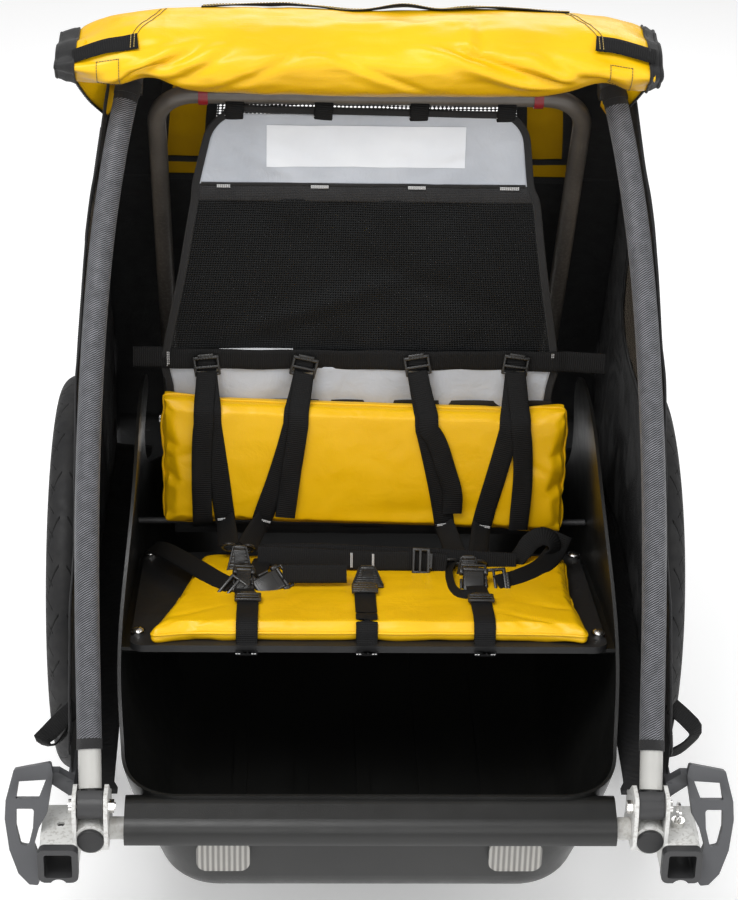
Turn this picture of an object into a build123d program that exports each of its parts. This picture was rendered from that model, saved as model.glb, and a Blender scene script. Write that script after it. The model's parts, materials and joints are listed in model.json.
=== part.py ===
from build123d import *

# Two-seat child bicycle trailer: moulded tub on a tubular base, folding front
# uprights and rear hoop, fabric cabin, quick-release 20 inch wheels.
# Millimetres, +Z up, -Y is the direction of travel, +X is the trailer's left side.
# Lengths along Y are measured from the wheel axle; AXLE_Y puts the middle of the
# overall length on Y = 0, and the ground is Z = 0.
import os
from math import cos, hypot, pi, radians, sin

os.makedirs("parts", exist_ok=True)
pieces = {}  # file name: finished BuildPart

# ---------------------------------------------------------------- shared dimensions
AXLE_Y = 87.05  # axle behind the middle of the overall length
AXLE_Z = 250.0
AXLE_R = 6.0

RAIL_X, RAIL_Z = 308.0, 215.0
RAIL_R, RAIL_BORE_R = 14.3, 12.3
RAIL_FRONT, RAIL_REAR = -510.0, 346.0
CROSS_R, CROSS_BORE_R = 12.7, 10.9
FRONT_CROSS_Y, REAR_CROSS_Y = -490.0, 318.0

PIVOT_Y, PIVOT_Z = -497.0, 250.0  # front hinge of the uprights
TOP_Y, TOP_Z = 20.0, 897.0  # upper end of the uprights
HOOP_X, HOOP_Y, HOOP_Z = 252.0, 330.0, 300.0  # rear hinge of the hoop
BOLT_HOLE_R = 4.0
BOLT_R = BOLT_HOLE_R - 0.05

# seat board: its middle surface passes through SEAT_REF and falls towards the rear
SEAT_REF_Y, SEAT_REF_Z, SEAT_SLOPE = -306.0, 344.0, 0.19
SEAT_NORMAL = (0, SEAT_SLOPE, 1)
SCREW_HOLE_R = 3.05
SCREW_X, SCREW_YS = 265, (-300, -42)
ROD_Y, ROD_Z = -8.0, 330.0  # rod across the tub that carries the backrest


def at_x(x):
    """Sketch plane across X: sketch (y, z), extrudes towards +X."""
    return Plane(origin=(x, AXLE_Y, 0), x_dir=(0, 1, 0), z_dir=(1, 0, 0))


def at_y(y):
    """Sketch plane across Y: sketch (x, z), extrudes towards -Y."""
    return Plane(origin=(0, AXLE_Y + y, 0), x_dir=(1, 0, 0), z_dir=(0, -1, 0))


def at_z(z):
    """Sketch plane across Z: sketch (x, y), extrudes towards +Z."""
    return Plane(origin=(0, AXLE_Y, z), x_dir=(1, 0, 0), z_dir=(0, 0, 1))


def pt(x, y, z):
    """Point with y measured from the axle."""
    return Vector(x, AXLE_Y + y, z)


def along(start, direction):
    """Plane at a point with its normal along a direction."""
    return Plane(origin=start, z_dir=direction)


def low_x(side, inner, outer):
    """Lower x end of a span between two distances from the middle, on side +1 or -1."""
    return inner if side > 0 else -outer


def seat_z(y):
    """Middle surface of the seat board."""
    return SEAT_REF_Z - (y - SEAT_REF_Y) * SEAT_SLOPE


def mirrored(piece):
    """Right-hand copy of a left-hand piece."""
    with BuildPart() as other:
        mirror(piece.part, about=Plane.YZ)
    return other


# ---------------------------------------------------------------- tub
TUB_WALL = 4.0
TUB_FLOOR_R = 40  # outer radius between floor and walls
TUB_LEVELS = [  # z, half width, front y, rear y, corner radius
    (97, 232, -455, 272, 70),
    (200, 264, -473, 300, 66),
    (260, 280, -475, 303, 62),
    (330, 287, -475, 304, 58),
    (560, 291, -475, 304, 55),
]
# rolled lip on the front wall: a rounded bar from LIP_A back to LIP_B, (y, z)
LIP_A, LIP_B = (-491.0, 214.5), (-473.0, 221.5)
LIP_R, LIP_HALF_WIDTH = 21.0, 272
CROSS_GROOVE_R = 14.6
LIP_DY, LIP_DZ = LIP_B[0] - LIP_A[0], LIP_B[1] - LIP_A[1]
LIP_LENGTH = hypot(LIP_DY, LIP_DZ)
LIP_OFFSET = (-LIP_DZ / LIP_LENGTH * LIP_R, LIP_DY / LIP_LENGTH * LIP_R)
TUB_RIM = [  # (y, z) of the upper edge, front to rear
    (-520, 249), (-470, 247), (-430, 252), (-380, 280), (-330, 336), (-280, 396),
    (-220, 450), (-150, 486), (-70, 506), (10, 508), (70, 496), (120, 450),
    (160, 380), (200, 305), (240, 278), (330, 270),
]
LEDGE_X, LEDGE_HALF_WIDTH = 269, 14.5
FLOOR_RIB_XS = (-150, -75, 0, 75, 150)


def tub_body(inset):
    """Solid tub with every wall moved inwards by inset."""
    levels = [(z, w - inset, f + inset, r - inset, c - inset) for z, w, f, r, c in TUB_LEVELS]
    levels[0] = (levels[0][0] + inset,) + levels[0][1:]
    with BuildPart() as body:
        for z, half_width, front, rear, corner in levels:
            with BuildSketch(at_z(z)):
                with Locations((0, (front + rear) / 2)):
                    RectangleRounded(2 * half_width, rear - front, corner)
        loft()
        fillet(body.faces().sort_by(Axis.Z)[0].edges(), TUB_FLOOR_R - inset)
    return body.part


tub_outer = tub_body(0.0)
tub_inner = tub_body(TUB_WALL)
with BuildPart() as tub:
    add(tub_outer)
    add(tub_inner, mode=Mode.SUBTRACT)
    # the front wall rolls over the front cross tube
    with BuildSketch(at_x(-LIP_HALF_WIDTH)):
        with Locations(LIP_A, LIP_B):
            Circle(LIP_R)
        with BuildLine():
            corners = ((LIP_A, 1), (LIP_B, 1), (LIP_B, -1), (LIP_A, -1))
            Polyline(*[(p[0] + k * LIP_OFFSET[0], p[1] + k * LIP_OFFSET[1]) for p, k in corners],
                     close=True)
        make_face()
    extrude(amount=2 * LIP_HALF_WIDTH)
    # groove for the cross tube, open downwards
    with BuildSketch(at_x(-320)):
        with Locations((FRONT_CROSS_Y, RAIL_Z)):
            Circle(CROSS_GROOVE_R)
    extrude(amount=640, mode=Mode.SUBTRACT)
    with BuildSketch(at_x(-320)):
        with BuildLine():
            Polyline((-515, 150), (-515, 206), (-476.5, 206), (-476.5, 150), close=True)
        make_face()
    extrude(amount=640, mode=Mode.SUBTRACT)
    # seat ledges moulded into the side walls
    for side in (-1, 1):
        with BuildSketch(at_x(side * LEDGE_X)):
            with BuildLine():
                Polyline((-320, seat_z(-320) - 4.3), (-14, seat_z(-14) - 4.3),
                         (-14, seat_z(-14) - 20), (-302, seat_z(-302) - 20),
                         (-320, seat_z(-320) - 9), close=True)
            make_face()
        extrude(amount=LEDGE_HALF_WIDTH, both=True)
    # rounded ribs on the floor
    for x in FLOOR_RIB_XS:
        with BuildSketch(at_z(100)):
            with Locations((x, -70)):
                RectangleRounded(16, 560, 7.9)
        extrude(amount=3.5)
    # trim everything above the rim
    with BuildSketch(at_x(-330)):
        with BuildLine():
            Spline(*TUB_RIM)
            Polyline(TUB_RIM[-1], (330, 620), (-520, 620), TUB_RIM[0])
        make_face()
    extrude(amount=660, mode=Mode.SUBTRACT)
    # screw holes in the ledges
    for y in SCREW_YS:
        with BuildSketch(at_z(seat_z(y) - 30)):
            with Locations((SCREW_X, y), (-SCREW_X, y)):
                Circle(SCREW_HOLE_R)
        extrude(amount=40, mode=Mode.SUBTRACT)
    # backrest rod holes in the side walls
    with BuildSketch(at_x(-310)):
        with Locations((ROD_Y, ROD_Z)):
            Circle(4.1)
    extrude(amount=620, mode=Mode.SUBTRACT)
pieces["tub"] = tub

# ---------------------------------------------------------------- base frame
FRONT_CROSS_HALF_LENGTH = 288.4

with BuildPart() as side_rails:
    for side in (-1, 1):
        with BuildSketch(at_y(RAIL_REAR)):
            with Locations((side * RAIL_X, RAIL_Z)):
                Circle(RAIL_R)
                Circle(RAIL_BORE_R, mode=Mode.SUBTRACT)
        extrude(amount=RAIL_REAR - RAIL_FRONT)
pieces["side_rails"] = side_rails

with BuildPart() as front_cross_tube:
    with BuildSketch(at_x(-FRONT_CROSS_HALF_LENGTH)):
        with Locations((FRONT_CROSS_Y, RAIL_Z)):
            Circle(CROSS_R)
            Circle(CROSS_BORE_R, mode=Mode.SUBTRACT)
    extrude(amount=2 * FRONT_CROSS_HALF_LENGTH)
pieces["front_cross_tube"] = front_cross_tube

# rear cross tube, its ends coped to the side rails
with BuildPart() as rear_cross_tube:
    with BuildSketch(at_x(-RAIL_X)):
        with Locations((REAR_CROSS_Y, RAIL_Z)):
            Circle(CROSS_R)
            Circle(CROSS_BORE_R, mode=Mode.SUBTRACT)
    extrude(amount=2 * RAIL_X)
    for side in (-1, 1):
        with BuildSketch(at_y(RAIL_REAR + 5)):
            with Locations((side * RAIL_X, RAIL_Z)):
                Circle(RAIL_R + 0.05)
        extrude(amount=80, mode=Mode.SUBTRACT)
pieces["rear_cross_tube"] = rear_cross_tube

CAP_PLUG_R = RAIL_BORE_R - 0.1
CAP_DISCS = [  # rear face y, radius, length towards the front
    (RAIL_FRONT - 2.2, 14.8, 5),
    (-495, CAP_PLUG_R, 18),
    (RAIL_REAR + 4.2, RAIL_R + 0.8, 4),
    (RAIL_REAR + 2, CAP_PLUG_R, 20),
]
with BuildPart() as rail_end_caps:
    for side in (-1, 1):
        for y, radius, length in CAP_DISCS:
            with BuildSketch(at_y(y)):
                with Locations((side * RAIL_X, RAIL_Z)):
                    Circle(radius)
            extrude(amount=length)
    cap_faces = rail_end_caps.faces().sort_by(Axis.Y)
    fillet(cap_faces[0].edges() + cap_faces[1].edges(), 2.4)
pieces["rail_end_caps"] = rail_end_caps

# ---------------------------------------------------------------- front corners
PLATE_IN, PLATE_OUT, PLATE_T = 288.6, 327.4, 4.4  # clevis plates of the front hinge
SOCKET_X, SOCKET_Z, SOCKET_SIZE = 343.0, 193.0, 42.0
SOCKET_FRONT, SOCKET_REAR = -520.0, -456.0
SOCKET_BORE = 36
HITCH_Y, HITCH_HOLE_R = -482.0, 4.2

# front corner casting: hinge clevis, rail boss and square tow socket in one piece
with BuildPart() as front_corner_left:
    for x in (PLATE_IN, PLATE_OUT - PLATE_T):
        with BuildSketch(at_x(x)):
            with BuildLine():
                Polyline((-516, 204), (-516, 246), (-510, 269), (-482, 269), (-462, 247),
                         (-448, 238), (-448, 205), close=True)
            plate = make_face()
            fillet(plate.vertices().group_by(Axis.Z)[-1], 9)
        extrude(amount=PLATE_T)
    with BuildSketch(at_y(-491)):
        with Locations((RAIL_X, RAIL_Z)):
            Circle(18.2)
    extrude(amount=21)
    # web under the rail that ties the two plates to the socket
    with BuildSketch(at_y(-446)):
        with BuildLine():
            socket_outer_x = SOCKET_X + SOCKET_SIZE / 2
            Polyline((PLATE_IN, 205), (PLATE_OUT, 213.5), (socket_outer_x, 213.5),
                     (socket_outer_x, 205), (322, 196), (PLATE_IN, 197), close=True)
        make_face()
    extrude(amount=60)
    # square socket for the tow arm
    with BuildSketch(at_y(SOCKET_REAR)):
        with Locations((SOCKET_X, SOCKET_Z)):
            RectangleRounded(SOCKET_SIZE, SOCKET_SIZE, 6)
    extrude(amount=SOCKET_REAR - SOCKET_FRONT)
    with BuildSketch(at_y(-430)):
        with Locations((SOCKET_X, SOCKET_Z)):
            RectangleRounded(SOCKET_BORE, SOCKET_BORE, 4)
    extrude(amount=110, mode=Mode.SUBTRACT)
    # rail bore
    with BuildSketch(at_y(-430)):
        with Locations((RAIL_X, RAIL_Z)):
            Circle(RAIL_R + 0.05)
    extrude(amount=100, mode=Mode.SUBTRACT)
    # hinge bolt holes and the hitch pin hole
    with BuildSketch(at_x(280)):
        with Locations((PIVOT_Y, PIVOT_Z)):
            Circle(BOLT_HOLE_R)
    extrude(amount=60, mode=Mode.SUBTRACT)
    with BuildSketch(at_z(163)):
        with Locations((SOCKET_X, HITCH_Y)):
            Circle(HITCH_HOLE_R)
    extrude(amount=60, mode=Mode.SUBTRACT)
pieces["front_corner_left"] = front_corner_left
pieces["front_corner_right"] = mirrored(front_corner_left)

LINER_SIZE = SOCKET_BORE - 0.2
LINER_COLLAR, LINER_BORE = 44, 30.6
with BuildPart() as tow_socket_liners:
    for side in (-1, 1):
        centre = (side * SOCKET_X, SOCKET_Z)
        with BuildSketch(at_y(SOCKET_REAR)):
            with Locations(centre):
                RectangleRounded(LINER_SIZE, LINER_SIZE, 3.9)
        extrude(amount=66)
        with BuildSketch(at_y(SOCKET_FRONT - 0.1)):
            with Locations(centre):
                RectangleRounded(LINER_COLLAR, LINER_COLLAR, 8)
        extrude(amount=11)
        with BuildSketch(at_y(-430)):
            with Locations(centre):
                RectangleRounded(LINER_BORE, LINER_BORE, 3)
        extrude(amount=120, mode=Mode.SUBTRACT)
        with BuildSketch(at_z(163)):
            with Locations((side * SOCKET_X, HITCH_Y)):
                Circle(HITCH_HOLE_R)
        extrude(amount=60, mode=Mode.SUBTRACT)
        # thumb scallop under the mouth
        with BuildSketch(at_y(SOCKET_FRONT + 0.5)):
            with Locations((side * SOCKET_X, 165.5)):
                Circle(10)
        extrude(amount=20, mode=Mode.SUBTRACT)
pieces["tow_socket_liners"] = tow_socket_liners

STOP_HALF_WIDTH = 14.0
with BuildPart() as hinge_stop_blocks:
    for side in (-1, 1):
        with BuildSketch(at_x(side * RAIL_X - STOP_HALF_WIDTH)):
            with BuildLine():
                Polyline((-481, 214), (-481, 236.6), (-463, 238), (-463, 214), close=True)
            make_face()
        extrude(amount=2 * STOP_HALF_WIDTH)
        with BuildSketch(at_y(-455)):
            with Locations((side * RAIL_X, RAIL_Z)):
                Circle(RAIL_R + 0.1)
        extrude(amount=40, mode=Mode.SUBTRACT)
pieces["hinge_stop_blocks"] = hinge_stop_blocks

# bolts of the hoop hinges, then of the upright hinges
with BuildPart() as hinge_bolts:
    for side in (-1, 1):
        with BuildSketch(at_x(side * HOOP_X - 19.5)):
            with Locations((HOOP_Y, HOOP_Z)):
                Circle(BOLT_R)
        extrude(amount=39)
        for head_x in (side * HOOP_X - 20.4, side * HOOP_X + 16.1):
            with BuildSketch(at_x(head_x)):
                with Locations((HOOP_Y, HOOP_Z)):
                    Circle(7)
            extrude(amount=4.3)
    for side in (-1, 1):
        with BuildSketch(at_x(low_x(side, 283.0, 331.5))):
            with Locations((PIVOT_Y, PIVOT_Z)):
                Circle(BOLT_R)
        extrude(amount=48.5)
        with BuildSketch(at_x(low_x(side, 327.5, 332.0))):
            with Locations((PIVOT_Y, PIVOT_Z)):
                Circle(7.5)
        extrude(amount=4.5)
        if side < 0:  # the right shank reaches further in
            with BuildSketch(at_x(-288.4)):
                with Locations((PIVOT_Y, PIVOT_Z)):
                    Circle(BOLT_R)
            extrude(amount=8)
pieces["hinge_bolts"] = hinge_bolts

with BuildPart() as hinge_nuts:
    for side in (-1, 1):
        with BuildSketch(at_x(low_x(side, 282.0, 288.5))):
            with Locations((PIVOT_Y, PIVOT_Z)):
                RegularPolygon(7.5, 6)
                Circle(BOLT_HOLE_R, mode=Mode.SUBTRACT)
        extrude(amount=6.5)
pieces["hinge_nuts"] = hinge_nuts

# ---------------------------------------------------------------- wheel guards
GUARD_TILT = radians(24.0)
GUARD_HEIGHT_SCALE = 0.95
# (x, height up the tilted plane before scaling)
GUARD_OUTLINE = [
    (353, 136), (393, 128), (402, 92), (403, 70), (398, 34), (388, 6), (376, -7),
    (365.6, -8), (365.6, 26), (371, 40), (366.4, 58), (357, 76), (354, 96), (350, 122),
]
GUARD_UPPER_WINDOW = [(358, 116), (388, 114), (391, 94), (366, 94)]
GUARD_LOWER_WINDOW = [(371, 82), (391, 82), (391, 62), (386, 40), (377, 38), (372, 60)]
GUARD_PLANE = Plane(origin=pt(0, -510, 164), x_dir=(1, 0, 0),
                    z_dir=(0, -cos(GUARD_TILT), sin(GUARD_TILT)))


def guard_points(points):
    return [(x, height * GUARD_HEIGHT_SCALE) for x, height in points]


# open frame ahead of the wheel, leaning back
with BuildPart() as wheel_guard_left:
    with BuildSketch(GUARD_PLANE):
        with BuildLine():
            Polyline(*guard_points(GUARD_OUTLINE), close=True)
        outline = make_face()
        fillet(outline.vertices(), 2.5)
    extrude(amount=12)
    with BuildSketch(GUARD_PLANE):
        with BuildLine():
            Polyline(*guard_points(GUARD_UPPER_WINDOW), close=True)
        make_face()
        with BuildLine():
            Polyline(*guard_points(GUARD_LOWER_WINDOW), close=True)
        windows = make_face()
        fillet(windows.vertices(), 3)
    extrude(amount=14, mode=Mode.SUBTRACT)
    # arm back to the side rail
    with BuildSketch(at_x(327.6)):
        with BuildLine():
            Polyline((-470, 262), (-470, 244), (-440, 228), (-408, 222), (-384, 222),
                     (-384, 240), (-408, 262), close=True)
        make_face()
    extrude(amount=7.4)
    with BuildSketch(at_x(316)):
        with BuildLine():
            Polyline((-436, 224), (-384, 222), (-384, 234), (-436, 236), close=True)
        make_face()
    extrude(amount=16)
    with BuildSketch(at_y(-457)):
        with BuildLine():
            Polyline((327.6, 244), (335, 244), (352, 258), (352, 274), (344, 274),
                     (327.6, 262), close=True)
        make_face()
    extrude(amount=11.8)
    with BuildSketch(at_y(-380)):
        with Locations((RAIL_X, RAIL_Z)):
            Circle(RAIL_R + 0.3)
    extrude(amount=90, mode=Mode.SUBTRACT)
pieces["wheel_guard_left"] = wheel_guard_left
pieces["wheel_guard_right"] = mirrored(wheel_guard_left)

# ---------------------------------------------------------------- axles
RECEIVER_IN, RECEIVER_OUT = 292, 327
AXLE_IN, AXLE_FLANGE_IN, AXLE_OUT = 294, 386.6, 393
BUTTON_IN, BUTTON_OUT, BUTTON_R = 384, 397.5, 5.0

with BuildPart() as axle_receivers:
    for side in (-1, 1):
        with BuildSketch(at_x(low_x(side, RECEIVER_IN, RECEIVER_OUT))):
            with Locations((0, 236)):
                RectangleRounded(56, 72, 12)
        extrude(amount=RECEIVER_OUT - RECEIVER_IN)
        with BuildSketch(at_y(60)):
            with Locations((side * RAIL_X, RAIL_Z)):
                Circle(RAIL_R + 0.05)
        extrude(amount=120, mode=Mode.SUBTRACT)
        with BuildSketch(at_x(low_x(side, 280, 340))):
            with Locations((0, AXLE_Z)):
                Circle(AXLE_R + 0.02)
        extrude(amount=60, mode=Mode.SUBTRACT)
pieces["axle_receivers"] = axle_receivers

# axles with an outer flange, bored for the release button
with BuildPart() as wheel_axles:
    for side in (-1, 1):
        with BuildSketch(at_x(low_x(side, AXLE_IN, AXLE_FLANGE_IN))):
            with Locations((0, AXLE_Z)):
                Circle(AXLE_R)
        extrude(amount=AXLE_FLANGE_IN - AXLE_IN)
        with BuildSketch(at_x(low_x(side, AXLE_FLANGE_IN, AXLE_OUT))):
            with Locations((0, AXLE_Z)):
                Circle(12)
        extrude(amount=AXLE_OUT - AXLE_FLANGE_IN)
        with BuildSketch(at_x(low_x(side, 380, 395))):
            with Locations((0, AXLE_Z)):
                Circle(BUTTON_R + 0.06)
        extrude(amount=15, mode=Mode.SUBTRACT)
pieces["wheel_axles"] = wheel_axles

for name, side in (("left", 1), ("right", -1)):
    with BuildPart() as button:
        with BuildSketch(at_x(low_x(side, BUTTON_IN, BUTTON_OUT))):
            with Locations((0, AXLE_Z)):
                Circle(BUTTON_R)
        extrude(amount=BUTTON_OUT - BUTTON_IN)
    pieces[f"wheel_release_button_{name}"] = button

# ---------------------------------------------------------------- wheels
WHEEL_X = 358.0  # wheel centre plane
WHEEL_AXIS = Axis((0, AXLE_Y, AXLE_Z), (1, 0, 0))
TYRE_R, TYRE_W = 250.0, 42.0
# wheel profiles: (x from the centre plane, radius from the axle)
TYRE_BEAD = [(-11.4, 204.2), (-11.4, 208.8), (-15.5, 211)]
TYRE_TREAD = [
    (-15.5, 211), (-TYRE_W / 2, 229), (-15.5, 243.5), (0, TYRE_R),
    (15.5, 243.5), (TYRE_W / 2, 229), (15.5, 211),
]
TYRE_INSIDE = [
    (15.5, 211), (11.4, 208.8), (11.4, 204.2), (8, 204.2), (8, 210), (12, 216), (17, 228),
    (12, 239), (0, 244.5), (-12, 239), (-17, 228), (-12, 216), (-8, 210), (-8, 204.2),
    (-11.4, 204.2),
]
RIM_PROFILE = [
    (-14.5, 208), (-11.7, 208), (-11.7, 203.5), (-6, 202), (6, 202), (11.7, 203.5),
    (11.7, 208), (14.5, 208), (14.5, 199), (9, 190), (-9, 190), (-14.5, 199),
]
HUB_IN, HUB_OUT, HUB_R = 330.0, 386.0, 17
FLANGE_XS, FLANGE_T, FLANGE_R = (337.0, 375.0), 3.4, 27
BEARING_R, BEARING_W = 14, 7
RUNNING_CLEARANCE = 0.04  # radial
SPOKES = 20
SPOKE_R, SPOKE_START_R, SPOKE_END_R = 1.1, 22, 192
SPOKE_END_DX = (-3.0, 3.0)  # from the centre plane, for even and odd spokes


def wheel_points(profile):
    return [(WHEEL_X + dx, AXLE_Z + radius) for dx, radius in profile]


with BuildPart() as tyre_left:
    with BuildSketch(at_y(0)):
        with BuildLine():
            Polyline(*wheel_points(TYRE_BEAD))
            Spline(*wheel_points(TYRE_TREAD))
            Polyline(*wheel_points(TYRE_INSIDE))
        make_face()
    revolve(axis=WHEEL_AXIS)
pieces["tyre_left"] = tyre_left

with BuildPart() as rim_left:
    with BuildSketch(at_y(0)):
        with BuildLine():
            Polyline(*wheel_points(RIM_PROFILE), close=True)
        make_face()
    revolve(axis=WHEEL_AXIS)
pieces["rim_left"] = rim_left

with BuildPart() as hub_left:
    with BuildSketch(at_x(HUB_IN)):
        with Locations((0, AXLE_Z)):
            Circle(HUB_R)
    extrude(amount=HUB_OUT - HUB_IN)
    for x in FLANGE_XS:
        with BuildSketch(at_x(x)):
            with Locations((0, AXLE_Z)):
                Circle(FLANGE_R)
        extrude(amount=FLANGE_T)
    with BuildSketch(at_x(HUB_IN - 5)):
        with Locations((0, AXLE_Z)):
            Circle(9)
    extrude(amount=70, mode=Mode.SUBTRACT)
    # bearing seats
    for x in (HUB_IN - 1, HUB_OUT - 8):
        with BuildSketch(at_x(x)):
            with Locations((0, AXLE_Z)):
                Circle(BEARING_R)
        extrude(amount=9, mode=Mode.SUBTRACT)
pieces["hub_left"] = hub_left

with BuildPart() as hub_bearings_left:
    for x in (HUB_IN + 0.5, HUB_OUT - 0.5 - BEARING_W):
        with BuildSketch(at_x(x)):
            with Locations((0, AXLE_Z)):
                Circle(BEARING_R)
                Circle(AXLE_R + RUNNING_CLEARANCE, mode=Mode.SUBTRACT)
        extrude(amount=BEARING_W)
pieces["hub_bearings_left"] = hub_bearings_left

# spokes run from the two hub flanges in turn
with BuildPart() as spokes_left:
    for i in range(SPOKES):
        angle = 2 * pi * i / SPOKES
        start = pt(FLANGE_XS[i % 2] + FLANGE_T / 2, SPOKE_START_R * cos(angle),
                   AXLE_Z + SPOKE_START_R * sin(angle))
        end = pt(WHEEL_X + SPOKE_END_DX[i % 2], SPOKE_END_R * cos(angle),
                 AXLE_Z + SPOKE_END_R * sin(angle))
        spoke = end - start
        with BuildSketch(along(start, spoke)):
            Circle(SPOKE_R)
        extrude(amount=spoke.length)
pieces["spokes_left"] = spokes_left

for name in ("tyre", "rim", "hub", "hub_bearings", "spokes"):
    pieces[f"{name}_right"] = mirrored(pieces[f"{name}_left"])

# ---------------------------------------------------------------- front uprights
UPRIGHT_R, UPRIGHT_BORE_R, SLEEVE_R = 12.7, 11.1, 13.7
UPRIGHT = Vector(0, TOP_Y - PIVOT_Y, TOP_Z - PIVOT_Z)
UPRIGHT_LENGTH = UPRIGHT.length
UPRIGHT_DIR = UPRIGHT.normalized()
UPRIGHT_STATIONS = [  # fraction of the length, distance from the middle
    (0.0, 308), (0.12, 312), (0.28, 317), (0.45, 319),
    (0.62, 316), (0.77, 308.5), (0.90, 295.5), (1.0, 281),
]
TOP_X = UPRIGHT_STATIONS[-1][1]
ROOF_TUBE_Y, ROOF_TUBE_Z = TOP_Y + 25, TOP_Z + 6
ROOF_TUBE_R, ROOF_TUBE_HALF_LENGTH = 7.0, 266.95
CONNECTOR_IN, CONNECTOR_OUT = 267.0, 291.0


def upright_point(distance, x):
    """Point at a distance along an upright, at side offset x."""
    return pt(x, PIVOT_Y + UPRIGHT_DIR.Y * distance, PIVOT_Z + UPRIGHT_DIR.Z * distance)


def upright_x(fraction):
    """Side offset at a fraction of the length, by cubic Hermite between stations."""
    for k, ((f0, x0), (f1, x1)) in enumerate(zip(UPRIGHT_STATIONS, UPRIGHT_STATIONS[1:])):
        if f0 <= fraction <= f1 + 1e-9:
            break
    f_before, x_before = UPRIGHT_STATIONS[max(k - 1, 0)]
    f_after, x_after = UPRIGHT_STATIONS[min(k + 2, len(UPRIGHT_STATIONS) - 1)]
    step = f1 - f0
    t = (fraction - f0) / step
    slope0 = (x1 - x_before) / (f1 - f_before) * step
    slope1 = (x_after - x0) / (f_after - f0) * step
    return ((2 * t**3 - 3 * t**2 + 1) * x0 + (t**3 - 2 * t**2 + t) * slope0
            + (-2 * t**3 + 3 * t**2) * x1 + (t**3 - t**2) * slope1)


def upright_path(low, high, side):
    """13 centreline points of an upright between two fractions of its length."""
    fractions = [low + (high - low) * i / 12 for i in range(13)]
    return [upright_point(f * UPRIGHT_LENGTH, side * upright_x(f)) for f in fractions]


with BuildPart() as upright_tubes:
    for side in (-1, 1):
        with BuildLine() as path:
            Spline(*upright_path(0.0225, 1.0, side))
        with BuildSketch(along(path.line @ 0, path.line % 0)):
            Circle(UPRIGHT_R)
            Circle(UPRIGHT_BORE_R, mode=Mode.SUBTRACT)
        sweep()
pieces["upright_tubes"] = upright_tubes

with BuildPart() as upright_sleeves:
    for side in (-1, 1):
        with BuildLine() as path:
            Spline(*upright_path(0.074, 0.985, side))
        with BuildSketch(along(path.line @ 0, path.line % 0)):
            Circle(SLEEVE_R)
            Circle(UPRIGHT_R + 0.05, mode=Mode.SUBTRACT)
        sweep()
pieces["upright_sleeves"] = upright_sleeves

KNUCKLE_IN, KNUCKLE_OUT = 294.2, 321.8
# shoulder corners of the knuckle: (across the upright, along it), from the pivot
KNUCKLE_SHOULDER = [(-12.9, -2), (-12.9, 16), (12.9, 16), (12.9, -2)]
with BuildPart() as hinge_knuckles:
    for side in (-1, 1):
        with BuildSketch(at_x(low_x(side, KNUCKLE_IN, KNUCKLE_OUT))):
            with Locations((PIVOT_Y, PIVOT_Z)):
                Circle(14.4)
            with BuildLine():
                Polyline(*[(PIVOT_Y - UPRIGHT_DIR.Z * u + UPRIGHT_DIR.Y * v,
                            PIVOT_Z + UPRIGHT_DIR.Y * u + UPRIGHT_DIR.Z * v)
                           for u, v in KNUCKLE_SHOULDER], close=True)
            make_face()
        extrude(amount=KNUCKLE_OUT - KNUCKLE_IN)
        # plug inside the upright
        plug_path = upright_path(0.0165, 0.070, side)
        plug = plug_path[-1] - plug_path[0]
        with BuildSketch(along(plug_path[0], plug)):
            Circle(UPRIGHT_BORE_R - 0.5)
        extrude(amount=plug.length)
        with BuildSketch(at_x(low_x(side, 290, 325))):
            with Locations((PIVOT_Y, PIVOT_Z)):
                Circle(BOLT_HOLE_R)
        extrude(amount=35, mode=Mode.SUBTRACT)
pieces["hinge_knuckles"] = hinge_knuckles

# connectors on top of the uprights, bored for the roof cross tube
with BuildPart() as top_connectors:
    for side in (-1, 1):
        start = upright_point(UPRIGHT_LENGTH * 0.9995, side * TOP_X)
        with BuildSketch(along(start, upright_point(UPRIGHT_LENGTH + 20, side * 276.2) - start)):
            Circle(14.5)
        extrude(amount=24)
        with BuildSketch(at_x(low_x(side, CONNECTOR_IN, CONNECTOR_OUT))):
            with Locations((TOP_Y + 20, TOP_Z - 2)):
                RectangleRounded(34, 34, 8)
        extrude(amount=CONNECTOR_OUT - CONNECTOR_IN)
        with BuildLine() as path:
            Spline(*upright_path(0.90, 1.0, side))
        with BuildSketch(along(path.line @ 0, path.line % 0)):
            Circle(SLEEVE_R + 0.25)
        sweep(mode=Mode.SUBTRACT)
    with BuildSketch(at_x(-CONNECTOR_IN)):
        with Locations((ROOF_TUBE_Y, ROOF_TUBE_Z)):
            Circle(ROOF_TUBE_R + 0.05)
    extrude(amount=2 * CONNECTOR_IN, mode=Mode.SUBTRACT)
pieces["top_connectors"] = top_connectors

with BuildPart() as roof_cross_tube:
    with BuildSketch(at_x(-ROOF_TUBE_HALF_LENGTH)):
        with Locations((ROOF_TUBE_Y, ROOF_TUBE_Z)):
            Circle(ROOF_TUBE_R)
            Circle(5.6, mode=Mode.SUBTRACT)
    extrude(amount=2 * ROOF_TUBE_HALF_LENGTH)
pieces["roof_cross_tube"] = roof_cross_tube

# ---------------------------------------------------------------- rear hoop
HOOP_TOP_Y, HOOP_TOP_Z = 33.0, 880.0
HOOP_R, HOOP_BORE_R, HOOP_BEND_R = 11.1, 9.5, 48
HOOP_DIR = Vector(0, HOOP_TOP_Y - HOOP_Y, HOOP_TOP_Z - HOOP_Z).normalized()
BRACKET_T = 4


def hoop_point(side, distance):
    """Point on a hoop leg at a distance from its hinge."""
    return pt(side * HOOP_X, HOOP_Y + HOOP_DIR.Y * distance, HOOP_Z + HOOP_DIR.Z * distance)


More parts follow.
